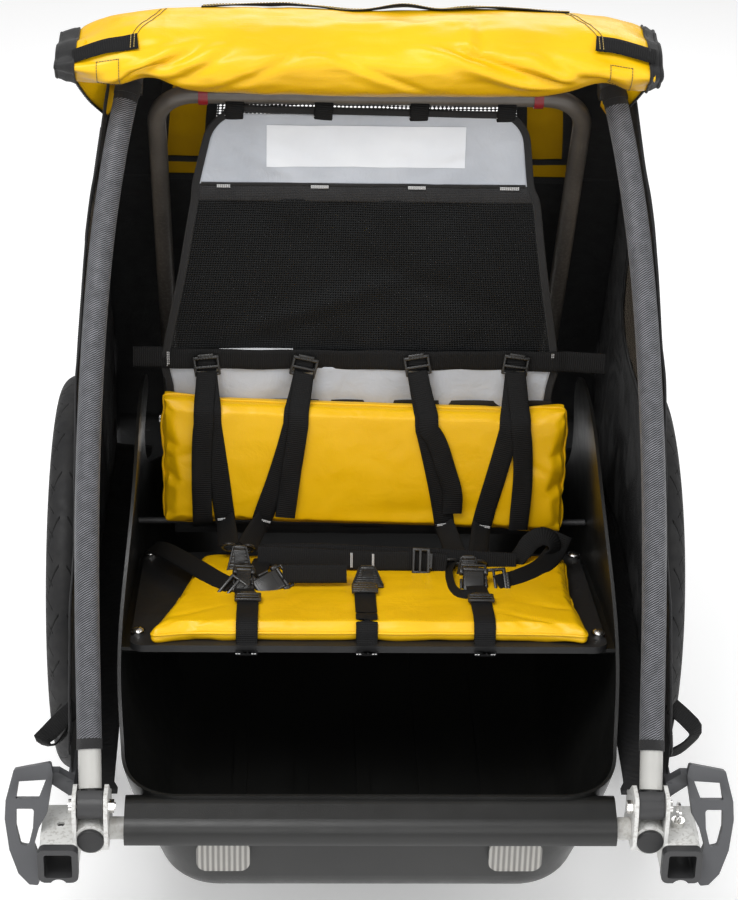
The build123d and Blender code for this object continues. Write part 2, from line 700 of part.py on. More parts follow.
with BuildPart() as rear_hoop:
    with BuildLine() as path:
        FilletPolyline(hoop_point(-1, 12), pt(-HOOP_X, HOOP_TOP_Y, HOOP_TOP_Z),
                       pt(HOOP_X, HOOP_TOP_Y, HOOP_TOP_Z), hoop_point(1, 12),
                       radius=HOOP_BEND_R)
    with BuildSketch(along(path.line @ 0, path.line % 0)):
        Circle(HOOP_R)
        Circle(HOOP_BORE_R, mode=Mode.SUBTRACT)
    sweep()
pieces["rear_hoop"] = rear_hoop

with BuildPart() as hoop_knuckles:
    for side in (-1, 1):
        with BuildSketch(at_x(side * HOOP_X - 11.6)):
            with Locations((HOOP_Y, HOOP_Z)):
                Circle(12)
        extrude(amount=23.2)
        # plug inside the leg and the collar below it
        start = hoop_point(side, 6)
        with BuildSketch(along(start, HOOP_DIR)):
            Circle(HOOP_BORE_R - 0.1)
        extrude(amount=40)
        with BuildSketch(along(start, HOOP_DIR)):
            Circle(11.4)
        extrude(amount=5.9)
        with BuildSketch(at_x(side * HOOP_X - 15)):
            with Locations((HOOP_Y, HOOP_Z)):
                Circle(BOLT_HOLE_R)
        extrude(amount=30, mode=Mode.SUBTRACT)
pieces["hoop_knuckles"] = hoop_knuckles

# pairs of plates standing on the rear cross tube
with BuildPart() as rear_hinge_brackets:
    for side in (-1, 1):
        for x in (side * HOOP_X - 12.0 - BRACKET_T, side * HOOP_X + 12.0):
            with BuildSketch(at_x(x)):
                with BuildLine():
                    Polyline((302, 200), (346, 200), (346, 300), (338, 314), (322, 314),
                             (316, 300), (302, 240), close=True)
                plate = make_face()
                fillet(plate.vertices().group_by(Axis.Z)[-1], 6)
            extrude(amount=BRACKET_T)
        with BuildSketch(at_x(side * HOOP_X - 20)):
            with Locations((REAR_CROSS_Y, RAIL_Z)):
                Circle(CROSS_R + 0.05)
        extrude(amount=40, mode=Mode.SUBTRACT)
        with BuildSketch(at_x(side * HOOP_X - 20)):
            with Locations((HOOP_Y, HOOP_Z)):
                Circle(BOLT_HOLE_R)
        extrude(amount=40, mode=Mode.SUBTRACT)
pieces["rear_hinge_brackets"] = rear_hinge_brackets

# rings around the top of the hoop
CLIP_X, CLIP_W, CLIP_R = 196, 11, 13.0
with BuildPart() as seat_back_clips:
    for side in (-1, 1):
        with BuildSketch(at_x(side * CLIP_X - CLIP_W / 2)):
            with Locations((HOOP_TOP_Y, HOOP_TOP_Z)):
                Circle(CLIP_R)
            with Locations((HOOP_TOP_Y, HOOP_TOP_Z)):
                Circle(HOOP_R + 0.02, mode=Mode.SUBTRACT)
        extrude(amount=CLIP_W)
pieces["seat_back_clips"] = seat_back_clips

# ---------------------------------------------------------------- seat
SEAT_HALF_WIDTH, SEAT_DEPTH, SEAT_Y = 273.0, 312, -181
SEAT_HALF_T = 4
CUSHION_W, CUSHION_DEPTH, CUSHION_T, CUSHION_Y = 492, 244, 18, -206
CUSHION_BASE = SEAT_HALF_T + 0.4  # cushion underside above the board's middle surface

with BuildPart() as seat_board:
    with BuildSketch(Plane(origin=pt(0, SEAT_Y, seat_z(SEAT_Y)), x_dir=(1, 0, 0),
                           z_dir=SEAT_NORMAL)):
        RectangleRounded(2 * SEAT_HALF_WIDTH, SEAT_DEPTH, 16)
    extrude(amount=SEAT_HALF_T, both=True)
    for y in SCREW_YS:
        with BuildSketch(at_z(seat_z(y) - 30)):
            with Locations((SCREW_X, y), (-SCREW_X, y)):
                Circle(SCREW_HOLE_R)
        extrude(amount=60, mode=Mode.SUBTRACT)
pieces["seat_board"] = seat_board

SCREW_STEPS = [  # radius, base from the board's middle surface, length: shank, head
    (3.0, -18, 26),
    (6.2, 5.6, 3),
]
with BuildPart() as seat_screws:
    for y in SCREW_YS:
        for radius, base, length in SCREW_STEPS:
            with BuildSketch(at_z(seat_z(y) + base)):
                with Locations((SCREW_X, y), (-SCREW_X, y)):
                    Circle(radius)
            extrude(amount=length)
pieces["seat_screws"] = seat_screws

with BuildPart() as seat_cushion:
    with BuildSketch(Plane(origin=pt(0, CUSHION_Y, seat_z(CUSHION_Y) + CUSHION_BASE),
                           x_dir=(1, 0, 0), z_dir=SEAT_NORMAL)):
        RectangleRounded(CUSHION_W, CUSHION_DEPTH, 9)
    extrude(amount=CUSHION_T)
    fillet(seat_cushion.faces().sort_by(Axis.Z)[-1].edges(), 6)
pieces["seat_cushion"] = seat_cushion

# backrest: foam pad on a stiffener board that is clipped to a rod across the tub
BACK_UP = Vector(0, 48, 560).normalized()  # up along the seat back
BACK_FORWARD = Vector(0, -BACK_UP.Z, BACK_UP.Y)  # out of its front face
ROD_HALF_LENGTH = 281
BOARD_HALF_WIDTH, PAD_HALF_WIDTH = 230, 244
BOARD_HINGE_XS, BOARD_HINGE_W = (-215, -25, 165), 50


def back_pt(up, forward):
    """(y, z) at a height above the rod along the back and a distance in front of it."""
    return (ROD_Y + BACK_UP.Y * up + BACK_FORWARD.Y * forward,
            ROD_Z + BACK_UP.Z * up + BACK_FORWARD.Z * forward)


with BuildPart() as backrest_rod:
    with BuildSketch(at_x(-ROD_HALF_LENGTH)):
        with Locations((ROD_Y, ROD_Z)):
            Circle(4)
    extrude(amount=2 * ROD_HALF_LENGTH)
pieces["backrest_rod"] = backrest_rod

with BuildPart() as backrest_board:
    with BuildSketch(at_x(-BOARD_HALF_WIDTH)):
        with BuildLine():
            Polyline(back_pt(10, 6.5), back_pt(168, 6.5), back_pt(168, 1.5),
                     back_pt(10, 1.5), close=True)
        make_face()
    extrude(amount=2 * BOARD_HALF_WIDTH)
    for x in BOARD_HINGE_XS:
        with BuildSketch(at_x(x)):
            with Locations((ROD_Y, ROD_Z)):
                Circle(7.5)
            with BuildLine():
                Polyline(back_pt(0, 7.4), back_pt(16, 6.5), back_pt(16, 1.5),
                         back_pt(0, 0), close=True)
            make_face()
        extrude(amount=BOARD_HINGE_W)
    with BuildSketch(at_x(-240)):
        with Locations((ROD_Y, ROD_Z)):
            Circle(4.06)
    extrude(amount=480, mode=Mode.SUBTRACT)
pieces["backrest_board"] = backrest_board

with BuildPart() as back_cushion:
    with BuildSketch(at_x(-PAD_HALF_WIDTH)):
        with BuildLine():
            Polyline(back_pt(5, 7), back_pt(174, 7), back_pt(174, 37), back_pt(5, 37),
                     close=True)
        pad = make_face()
        fillet(pad.vertices(), 7)
    extrude(amount=2 * PAD_HALF_WIDTH)
pieces["back_cushion"] = back_cushion

# hanging seat back sheet
SHEET_TOP_Y, SHEET_TOP_Z, SHEET_T = 24.0, 856.0, 3
SHEET_SLOPE = 30.0 / 556.0  # y per unit of z
SHEET_OUTLINE = [  # (x, z)
    (-238, 300), (238, 300), (239, 560), (214, 760), (186, 845), (172, 857),
    (-172, 857), (-186, 845), (-214, 760), (-239, 560),
]


def back_y(z):
    """Front surface of the hanging seat back at a height."""
    return SHEET_TOP_Y - (SHEET_TOP_Z - z) * SHEET_SLOPE


with BuildPart() as seat_back:
    with BuildSketch(at_x(-250)):
        with BuildLine():
            Polyline((back_y(856), 856), (back_y(556), 556), (2.5, 345), (2.5, 306),
                     (5.5, 306), (5.5, 345), (back_y(556) + SHEET_T, 556),
                     (back_y(856) + SHEET_T, 856), close=True)
        make_face()
    extrude(amount=500)
    with BuildSketch(at_y(100)):
        with BuildLine():
            Polyline(*SHEET_OUTLINE, close=True)
        make_face()
    extrude(amount=200, mode=Mode.INTERSECT)
pieces["seat_back"] = seat_back

# ---------------------------------------------------------------- harness
BAND_Z0, BAND_Z1, BAND_HALF_WIDTH = 538.0, 563.5, 284
BAND_Y = back_y(544)  # seat back surface behind the band
STRAP_ENDS = [(-194, -170), (-75, -126), (63, 104), (183, 146)]  # x at top, x at bottom
CROTCH_XS = (-140, -4, 130)
CROTCH_W = 26
BELT_SPANS = [(-238, -172), (-120, -20), (20, 98), (146, 238)]  # x from, x to
BELT_FRONT, BELT_REAR = -108, -82


def pad_top(y):
    """Reference height over the seat cushion."""
    return seat_z(y) + CUSHION_BASE + 20.6


with BuildPart() as harness_band:
    with BuildSketch(at_x(-BAND_HALF_WIDTH)):
        with BuildLine():
            Polyline((BAND_Y - 3.2, BAND_Z0), (BAND_Y - 0.6, BAND_Z0),
                     (BAND_Y - 0.6, BAND_Z1), (BAND_Y - 3.2, BAND_Z1), close=True)
        make_face()
    extrude(amount=2 * BAND_HALF_WIDTH)
pieces["harness_band"] = harness_band

# a full-width sheet in front of the back pad, cut to four straps
with BuildPart() as shoulder_straps:
    with BuildSketch(at_x(-260)):
        with BuildLine():
            Polyline((BAND_Y - 9.5, 545), back_pt(170, 44), back_pt(60, 42), back_pt(8, 43),
                     back_pt(8, 45.5), back_pt(60, 44.5), back_pt(170, 46.5),
                     (BAND_Y - 12, 545), close=True)
        make_face()
    extrude(amount=520)
    with BuildSketch(at_y(60)):
        for top_x, bottom_x in STRAP_ENDS:
            with BuildLine():
                Polyline((top_x - 13, 545), (top_x + 13, 545), (bottom_x + 12, 338),
                         (bottom_x - 12, 338), close=True)
            make_face()
    extrude(amount=160, mode=Mode.INTERSECT)
pieces["shoulder_straps"] = shoulder_straps

# straps along the cushion that bend down over its front edge
with BuildPart() as crotch_straps:
    for x in CROTCH_XS:
        with BuildSketch(at_x(x - CROTCH_W / 2)):
            with BuildLine():
                Polyline((-170, pad_top(-170) + 1.5), (-314, pad_top(-314) + 1.5),
                         (-321, pad_top(-320) - 2.5), (-327, pad_top(-325) - 11),
                         (-337.5, seat_z(-335) + 5), (-337.5, seat_z(-335) - 8),
                         (-340, seat_z(-335) - 8), (-340, seat_z(-335) + 7),
                         (-329.5, pad_top(-328) - 8.5), (-323.4, pad_top(-322) + 0.2),
                         (-315, pad_top(-314) + 4), (-170, pad_top(-170) + 4), close=True)
            make_face()
        extrude(amount=CROTCH_W)
pieces["crotch_straps"] = crotch_straps

with BuildPart() as harness_buckles:
    # ladder adjusters at the shoulder band
    for top_x, _ in STRAP_ENDS:
        with BuildSketch(at_y(BAND_Y - 3.8)):
            with Locations((top_x, 546)):
                RectangleRounded(32, 30, 8)
        extrude(amount=5)
        with BuildSketch(at_y(BAND_Y + 20)):
            with Locations((top_x, 552), (top_x, 540)):
                Rectangle(24, 5)
        extrude(amount=60, mode=Mode.SUBTRACT)
    # buckles on the crotch straps
    for x in CROTCH_XS:
        with BuildSketch(Plane(origin=pt(x, -225, pad_top(-225) + 5.0), x_dir=(1, 0, 0),
                               z_dir=SEAT_NORMAL)):
            RectangleRounded(38, 58, 9)
        extrude(amount=10)
pieces["harness_buckles"] = harness_buckles

with BuildPart() as lap_belts:
    for x0, x1 in BELT_SPANS:
        with BuildSketch(at_x(x0)):
            with BuildLine():
                Polyline((BELT_FRONT, pad_top(BELT_FRONT) + 1.2),
                         (BELT_REAR, pad_top(BELT_REAR) + 1.2),
                         (BELT_REAR, pad_top(BELT_REAR) + 4),
                         (BELT_FRONT, pad_top(BELT_FRONT) + 4), close=True)
            make_face()
        extrude(amount=x1 - x0)
pieces["lap_belts"] = lap_belts

# ---------------------------------------------------------------- reflectors
REFLECTORS = [  # name, distance from the middle, rear face y, z
    ("front_reflectors", 164, -474.5, 168),
    ("rear_reflectors", 170, 310.5, 175),
]
for name, reflector_x, y, z in REFLECTORS:
    with BuildPart() as reflectors:
        for x in (-reflector_x, reflector_x):
            with BuildSketch(at_y(y)):
                with Locations((x, z)):
                    RectangleRounded(60, 40, 12)
            extrude(amount=6)
    pieces[name] = reflectors

# ---------------------------------------------------------------- fabric cabin
SIDE_SECTION = [  # (x, z) of the outer face of the left side panel
    (334.8, 236), (334.8, 610), (331.6, 690), (327.6, 745), (320.8, 800), (312.8, 850),
    (304, 906),
]
SIDE_OUTLINE = [  # (y, z)
    (-452, 296), (-438, 280), (-380, 272), (-250, 272), (-130, 280), (-45, 296), (45, 296),
    (130, 280), (256, 268), (345, 268), (352, 330), (336, 430), (222, 700), (118, 880),
    (96, 905), (18, 905), (14, 890),
]
WINDOW = [  # (y, z)
    (-262, 500), (-60, 766), (10, 800), (58, 800), (150, 640), (172, 560), (150, 520),
    (-40, 520),
]
REAR_SECTION = [  # (y, z): inner face downwards, then outer face upwards
    (98.5, 906), (120.5, 881), (224.5, 701), (338.5, 431), (354.5, 330), (348.5, 268),
    (351, 268), (357, 330), (341, 432), (227, 702), (123, 882), (100.5, 908.5),
]
ROOF_SECTION = [  # (y, z): inner face rearwards, then outer face forwards
    (-18, 980.5), (30, 980), (70, 958), (97, 912), (99, 914), (72, 961), (31, 983),
    (-18, 983),
]
ROOF_HALF_WIDTH, ROLL_HALF_WIDTH = 296, 338


def side_strip(outer_inset, inner_inset):
    """Closed (x, z) strip between two insets from the side section."""
    outer = [(x - outer_inset, z) for x, z in SIDE_SECTION]
    inner = [(x - inner_inset, z) for x, z in SIDE_SECTION]
    return outer + inner[::-1]


def grow(points, distance):
    """Points moved outwards from their centre by a distance."""
    centre_y = sum(y for y, z in points) / len(points)
    centre_z = sum(z for y, z in points) / len(points)
    grown = []
    for y, z in points:
        k = 1 + distance / hypot(y - centre_y, z - centre_z)
        grown.append((centre_y + (y - centre_y) * k, centre_z + (z - centre_z) * k))
    return grown


with BuildPart() as side_panel_left:
    with BuildSketch(at_y(400)):
        with BuildLine():
            Polyline(*side_strip(0, 2), close=True)
        make_face()
    extrude(amount=900)
    with BuildSketch(at_x(280)):
        with BuildLine():
            Polyline(*SIDE_OUTLINE, close=True)
        make_face()
    extrude(amount=80, mode=Mode.INTERSECT)
    with BuildSketch(at_x(280)):
        with BuildLine():
            Polyline(*WINDOW, close=True)
        make_face()
    extrude(amount=80, mode=Mode.SUBTRACT)
pieces["side_panel_left"] = side_panel_left

with BuildPart() as side_window_left:
    with BuildSketch(at_y(400)):
        with BuildLine():
            Polyline(*side_strip(0.4, 1.4), close=True)
        make_face()
    extrude(amount=900)
    with BuildSketch(at_x(280)):
        with BuildLine():
            Polyline(*grow(WINDOW, -0.5), close=True)
        make_face()
    extrude(amount=80, mode=Mode.INTERSECT)
pieces["side_window_left"] = side_window_left

for name in ("side_panel", "side_window"):
    pieces[f"{name}_right"] = mirrored(pieces[f"{name}_left"])

# rear panel, trimmed to fit between the side panels
with BuildPart() as rear_panel:
    with BuildSketch(at_x(-332)):
        with BuildLine():
            Polyline(*REAR_SECTION, close=True)
        make_face()
    extrude(amount=664)
    with BuildSketch(at_y(400)):
        with BuildLine():
            left_edge = [(x - 2.6, z) for x, z in SIDE_SECTION]
            right_edge = [(-x, z) for x, z in left_edge[::-1]]
            Polyline(*(left_edge + [(299, 915), (-299, 915)] + right_edge), close=True)
        make_face()
    extrude(amount=400, mode=Mode.INTERSECT)
pieces["rear_panel"] = rear_panel

with BuildPart() as roof_panel:
    with BuildSketch(at_x(-ROOF_HALF_WIDTH)):
        with BuildLine():
            Polyline(*ROOF_SECTION, close=True)
        make_face()
    extrude(amount=2 * ROOF_HALF_WIDTH)
pieces["roof_panel"] = roof_panel

with BuildPart() as front_cover_roll:
    with BuildSketch(at_x(-ROLL_HALF_WIDTH)):
        with Locations((-24, 941)):
            Ellipse(34, 36)
    extrude(amount=2 * ROLL_HALF_WIDTH)
pieces["front_cover_roll"] = front_cover_roll

# small webbing pull loops beside the front corners
with BuildPart() as strap_loops:
    for side in (-1, 1):
        with BuildSketch(at_y(-404)):
            with Locations((side * 352, 322)):
                Ellipse(16, 24)
                Ellipse(14, 22, mode=Mode.SUBTRACT)
        extrude(amount=12)
pieces["strap_loops"] = strap_loops

# hitch pin kept in the left socket's cross hole, with a pull ring on top
RING_W = 2.8
with BuildPart() as hitch_pin:
    with BuildSketch(at_z(165)):
        with Locations((SOCKET_X, HITCH_Y)):
            Circle(HITCH_HOLE_R - 0.06)
    extrude(amount=58)
    with BuildSketch(at_z(214.2)):
        with Locations((SOCKET_X, HITCH_Y)):
            Circle(7.5)
    extrude(amount=7)
    with BuildSketch(at_x(SOCKET_X - RING_W / 2)):
        with Locations((HITCH_Y, 231.5)):
            Circle(11.6)
            Circle(8.8, mode=Mode.SUBTRACT)
    extrude(amount=RING_W)
pieces["hitch_pin"] = hitch_pin

for name, piece in pieces.items():
    piece.part.label = name
    export_step(piece.part, f"parts/{name}.step")
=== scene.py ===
"""Two-wheeled child trailer with a yellow rolled cover, black cloth sides and two harness seats.

The trailer stands on the floor at z = 0 and faces -Y; its left is +X. Most places are given
in millimetres with y counted from the wheel axle, and point() turns them into metres.
"""
import functools
import json
import math
import random

import bpy
import bmesh
from mathutils import Matrix, Vector, noise
from mathutils.bvhtree import BVHTree
from mathutils.geometry import delaunay_2d_cdt


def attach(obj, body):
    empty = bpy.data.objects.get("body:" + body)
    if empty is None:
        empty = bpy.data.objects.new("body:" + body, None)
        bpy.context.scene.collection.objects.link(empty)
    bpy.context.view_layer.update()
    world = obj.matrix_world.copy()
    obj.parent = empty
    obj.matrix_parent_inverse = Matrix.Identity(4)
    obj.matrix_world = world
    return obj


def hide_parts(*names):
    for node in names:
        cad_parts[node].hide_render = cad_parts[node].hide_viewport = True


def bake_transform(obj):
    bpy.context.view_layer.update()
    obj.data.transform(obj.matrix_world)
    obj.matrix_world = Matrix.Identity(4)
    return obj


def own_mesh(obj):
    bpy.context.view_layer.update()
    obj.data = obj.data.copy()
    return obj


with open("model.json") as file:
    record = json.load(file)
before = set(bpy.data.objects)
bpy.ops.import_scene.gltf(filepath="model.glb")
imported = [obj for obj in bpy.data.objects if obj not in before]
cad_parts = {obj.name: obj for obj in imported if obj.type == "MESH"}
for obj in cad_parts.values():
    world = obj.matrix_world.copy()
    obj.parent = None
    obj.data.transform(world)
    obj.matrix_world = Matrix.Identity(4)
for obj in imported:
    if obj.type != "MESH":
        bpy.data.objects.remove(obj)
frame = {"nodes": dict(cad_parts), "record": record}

random.seed(7)
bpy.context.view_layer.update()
JOINTS = {joint["name"]: joint for joint in frame["record"]["behaviour"]["joints"]}
MILLI = 0.001
AXLE = Vector(JOINTS["wheel_left_spin"]["pos_m"])
AXLE_Y = JOINTS["wheel_left_spin"]["pos_m"][1]
PIVOT = Vector(JOINTS["uprights_fold"]["pos_m"])
SIDES = (("left", 1), ("right", -1))


# ------------------------------------------------------------------ places and small sums
def point(x, y, z):
    """Frame point from millimetres, y counted from the wheel axle."""
    return Vector((x * MILLI, y * MILLI + AXLE_Y, z * MILLI))


def points(rows):
    return [point(*row) for row in rows]


def lerp(start, end, share):
    return start + (end - start) * share


def piecewise(pairs, value):
    """Straight-line reading of a table of (value, result) pairs, held level beyond its ends."""
    for (low, first), (high, second) in zip(pairs, pairs[1:]):
        if value <= high:
            return lerp(first, second, max(0.0, (value - low) / (high - low)))
    return pairs[-1][1]


def bell(distance, width):
    """Smooth hump: 1 at distance 0, nearly 0 beyond twice the width."""
    return math.exp(-(distance / width) ** 2)


def waver(x, y, z, scale):
    return noise.noise(Vector((x * scale, y * scale, z * scale)))


def creases(table, x, other):
    """Height of short diagonal creases at (x, other), where other is y or z.

    Rows: height, x and other of a point on the crease, slope, width, middle x, reach along x.
    """
    return sum(height * bell((x - x0) * slope + (other - other0), width) * bell(x - middle, reach)
               for height, x0, other0, slope, width, middle, reach in table)


def lattice(rows, columns, place):
    """Rows of points from place(share of the rows, share of the columns)."""
    return [[place(i / rows, j / columns) for j in range(columns + 1)] for i in range(rows + 1)]


# ------------------------------------------------------------------ materials
class Shader:
    """A node material with a Principled surface and short helpers for its nodes."""

    def __init__(self, name):
        self.material = bpy.data.materials.new(name)
        self.material.use_nodes = True
        self.tree = self.material.node_tree
        self.tree.nodes.clear()
        self.output = self.node("OutputMaterial")
        self.surface = self.node("BsdfPrincipled")
        self.put(self.output.inputs[0], self.surface.outputs[0])

    def put(self, socket, value):
        """Feed a socket from another socket, a number, or a colour of three numbers."""
        if isinstance(value, bpy.types.NodeSocket):
            self.tree.links.new(value, socket)
        else:
            socket.default_value = (*value, 1.0) if isinstance(value, tuple) else value

    def fill(self, node, inputs):
        for name, value in inputs.items():
            self.put(node.inputs[name.replace("_", " ")], value)

    def node(self, kind, **inputs):
        node = self.tree.nodes.new("ShaderNode" + kind)
        self.fill(node, inputs)
        return node

    def set(self, **inputs):
        self.fill(self.surface, inputs)

    def math(self, operation, first, second=0.0):
        node = self.node("Math")
        node.operation = operation
        for socket, value in zip(node.inputs, (first, second, 0.0)):
            self.put(socket, value)
        return node.outputs[0]

    def times(self, first, second):
        return self.math("MULTIPLY", first, second)

    def add(self, first, second, weight=None):
        """first + second, or first + second * weight."""
        return self.math("ADD", first, second if weight is None else self.times(second, weight))

    def wave_of(self, value, period, operation="SINE"):
        return self.math(operation, self.times(value, 2 * math.pi / period))

    def mix(self, factor, first, second):
        node = self.node("Mix")
        node.data_type = "RGBA"
        for index, value in ((0, factor), (6, first), (7, second)):
            self.put(node.inputs[index], value)
        return node.outputs[2]

    def coords(self, kind="Object"):
        return self.node("TexCoord").outputs[kind]

    def uv(self):
        """U and V, in metres along the cloth."""
        parts = self.node("SeparateXYZ", Vector=self.coords("UV"))
        return parts.outputs[0], parts.outputs[1]

    def geometry(self, output):
        return self.node("NewGeometry").outputs[output]

    def noise(self, scale, detail=3.0, rough=0.5, stretch=None, distortion=0.0):
        vector = self.coords()
        if stretch:
            mapping = self.node("Mapping", Vector=vector)
            mapping.inputs["Scale"].default_value = stretch
            vector = mapping.outputs[0]
        return self.node("TexNoise", Scale=scale, Detail=detail, Roughness=rough,
                         Distortion=distortion, Vector=vector).outputs["Fac"]

    def voronoi(self, scale):
        return self.node("TexVoronoi", Scale=scale, Vector=self.coords()).outputs["Distance"]

    def wave(self, scale, direction, distortion=0.0, coords=None):
        node = self.node("TexWave", Scale=scale, Distortion=distortion,
                         Vector=coords or self.coords())
        node.bands_direction = direction
        return node.outputs["Fac"]

    def weave(self, scale, distortion, operation):
        """Threads crossing along X and Z."""
        coords = self.coords()
        return self.math(operation, self.wave(scale, "X", distortion, coords),
                         self.wave(scale, "Z", distortion, coords))

    def ramp(self, value, span, to=(0.0, 1.0)):
        """Map the span of a value onto the range to."""
        node = self.node("MapRange")
        for socket, number in zip(node.inputs, (value, *span, *to)):
            self.put(socket, number)
        return node.outputs[0]

    def cloud(self, scale, detail=3.0, to=(0.0, 1.0)):
        """Soft patches between the two values of to."""
        return self.ramp(self.noise(scale, detail), span=(0.3, 0.7), to=to)

    def bump(self, height, distance, strength=1.0, after=None):
        """Relief on the surface, laid over an earlier bump if one is given."""
        node = self.node("Bump", Distance=distance, Strength=strength, Height=height)
        if after is not None:
            self.put(node.inputs["Normal"], after)
        self.set(Normal=node.outputs[0])
        return node.outputs[0]


def plastic(name, dark, light, roughness=(0.4, 0.5), grain=1400.0, depth=0.00012, wear=0.0,
            specular=0.5):
    """Moulded plastic with a pebbled grain, and paler edges if wear is given."""
    mat = Shader(name)
    base = mat.mix(mat.ramp(mat.noise(scale=7.0, detail=4.0), span=(0.35, 0.65)), dark, light)
    if wear:
        edge = mat.ramp(mat.geometry("Pointiness"), span=(0.53, 0.60), to=(0.0, wear))
        base = mat.mix(edge, base, tuple(min(1.0, part * 4 + 0.05) for part in light))
    mat.set(Base_Color=base, Specular_IOR_Level=specular,
            Roughness=mat.cloud(scale=45.0, to=roughness))
    pebbles = mat.add(mat.times(mat.voronoi(grain), 0.6), mat.noise(grain * 1.7, detail=2.0))
    mat.bump(pebbles, distance=depth, strength=0.8)
    return mat.material


def painted(name, dark, light, roughness=(0.32, 0.42), metallic=0.0):
    """Sprayed paint with a slight orange peel, chipped along its edges."""
    mat = Shader(name)
    base = mat.mix(mat.cloud(scale=18.0, detail=4.0), dark, light)
    edge = mat.ramp(mat.geometry("Pointiness"), span=(0.55, 0.63), to=(0.0, 0.5))
    chips = mat.times(edge, mat.ramp(mat.noise(scale=240.0), span=(0.5, 0.6)))
    mat.set(Base_Color=mat.mix(chips, base, (0.35, 0.33, 0.30)), Metallic=metallic,
            Roughness=mat.cloud(scale=90.0, to=roughness), Coat_Weight=0.15, Coat_Roughness=0.25)
    peel = mat.add(mat.noise(scale=900.0, detail=2.0), mat.noise(scale=160.0, detail=2.0),
                   weight=0.7)
    mat.bump(peel, distance=0.00008, strength=0.7)
    return mat.material


def metal(name, color, roughness, brushed=None):
    """Bare metal; brushed gives the stretch of its brush marks."""
    mat = Shader(name)
    mat.set(Base_Color=color, Metallic=1.0)
    if brushed:
        marks = mat.noise(scale=400.0, stretch=brushed)
        mat.set(Roughness=mat.ramp(marks, span=(0.3, 0.7), to=roughness))
        mat.bump(marks, distance=0.00004, strength=0.6)
    else:
        mat.set(Roughness=mat.cloud(scale=140.0, to=roughness))
        mat.bump(mat.noise(scale=700.0, detail=2.0), distance=0.00003, strength=0.5)
    return mat.material


def yellow_vinyl():
    """Coated yellow sheet, darker on its back, with painted shade where it faces the ground."""
    mat = Shader("yellow_vinyl")
    base = mat.mix(mat.cloud(scale=9.0, detail=4.0), (0.84, 0.470, 0.0008), (0.91, 0.530, 0.0016))
    geometry = mat.node("NewGeometry").outputs
    # painted shade: the colour turns dark amber where the sheet's normal points down toward the
    # ground
    facing = mat.node("SeparateXYZ", Vector=geometry["Normal"]).outputs["Z"]
    base = mat.mix(mat.ramp(facing, span=(-0.85, -0.12)), (0.44, 0.235, 0.0012), base)
    mat.set(Base_Color=mat.mix(geometry["Backfacing"], base, (0.60, 0.32, 0.006)),
            Specular_IOR_Level=0.34, Coat_Weight=0.14, Coat_Roughness=0.24,
            Roughness=mat.cloud(scale=30.0, to=(0.34, 0.46)))
    # a faint weave pressed into the coating, then soft creasing
    weave = mat.bump(mat.weave(scale=330.0, distortion=0.6, operation="ADD"),
                     distance=0.00005, strength=0.6)
    soft = mat.bump(mat.noise(scale=26.0, detail=4.0, rough=0.55, distortion=0.7),
                    distance=0.0035, strength=0.30, after=weave)
    mat.bump(mat.noise(scale=160.0), distance=0.0004, strength=0.35, after=soft)
    return mat.material


def coated_cloth(name, dark, light, roughness=(0.45, 0.6), crease=0.004, weave=0.0003,
                 pitch=480.0, sheen=0.1):
    """Woven cloth; crease and weave are depths in metres, pitch the scale of the threads."""
    mat = Shader(name)
    mat.set(Base_Color=mat.mix(mat.cloud(scale=12.0, detail=4.0), dark, light),
            Sheen_Weight=sheen, Roughness=mat.cloud(scale=60.0, to=roughness))
    threads = mat.bump(mat.weave(scale=pitch, distortion=0.8, operation="MULTIPLY"),
                       distance=weave, strength=0.7)
    mat.bump(mat.noise(scale=22.0, detail=5.0, rough=0.6, distortion=1.0),
             distance=crease, strength=0.35, after=threads)
    return mat.material


def webbing(name, color, rib=0.0026):
    """Ribbed strap webbing; rib is the distance between ribs in metres."""
    mat = Shader(name)
    along, across = mat.uv()
    ribs = mat.wave_of(across, rib)
    picks = mat.wave_of(along, rib * 0.75)
    weave = mat.add(mat.times(ribs, 0.6), mat.times(ribs, picks), weight=0.5)
    shade = mat.times(mat.ramp(weave, span=(-1.0, 1.0)), mat.cloud(scale=300.0, to=(0.4, 1.0)))
    mat.set(Base_Color=mat.mix(shade, color, tuple(part * 2.2 + 0.002 for part in color)),
            Roughness=0.7, Specular_IOR_Level=0.22)
    mat.bump(weave, distance=0.00035, strength=0.9)
    return mat.material


def sleeve_weave():
    """Coarse diagonal twill of grey and black yarns."""
    mat = Shader("sleeve_weave")
    along, across = mat.uv()
    row = mat.wave_of(mat.add(across, along, weight=-0.55), period=0.0027)
    dash = mat.wave_of(mat.add(along, across, weight=0.9), period=0.0023)
    yarn = mat.ramp(mat.add(row, dash, weight=0.45), span=(-0.35, 0.75))
    grey = mat.mix(mat.cloud(scale=90.0), (0.13, 0.135, 0.15), (0.24, 0.245, 0.27))
    mat.set(Base_Color=mat.mix(yarn, (0.006, 0.006, 0.007), grey), Specular_IOR_Level=0.5,
            Roughness=mat.ramp(yarn, span=(0.0, 1.0), to=(0.62, 0.34)), Sheen_Weight=0.15)
    mat.bump(yarn, distance=0.00045, strength=0.8)
    return mat.material


def knitted_mesh(name, pitch, open_at, color):
    """Knitted mesh with round holes; a higher open_at makes them smaller."""
    mat = Shader(name)
    along, across = mat.uv()
    web = mat.add(mat.wave_of(along, pitch, "COSINE"), mat.wave_of(across, pitch, "COSINE"))
    hole = mat.ramp(web, span=(open_at, open_at + 0.25))
    mat.set(Base_Color=color, Roughness=0.55, Sheen_Weight=0.03, Specular_IOR_Level=0.22,
            Alpha=mat.math("SUBTRACT", 1.0, hole))
    mat.bump(mat.times(web, -1.0), distance=0.0003, strength=0.7)
    return mat.material


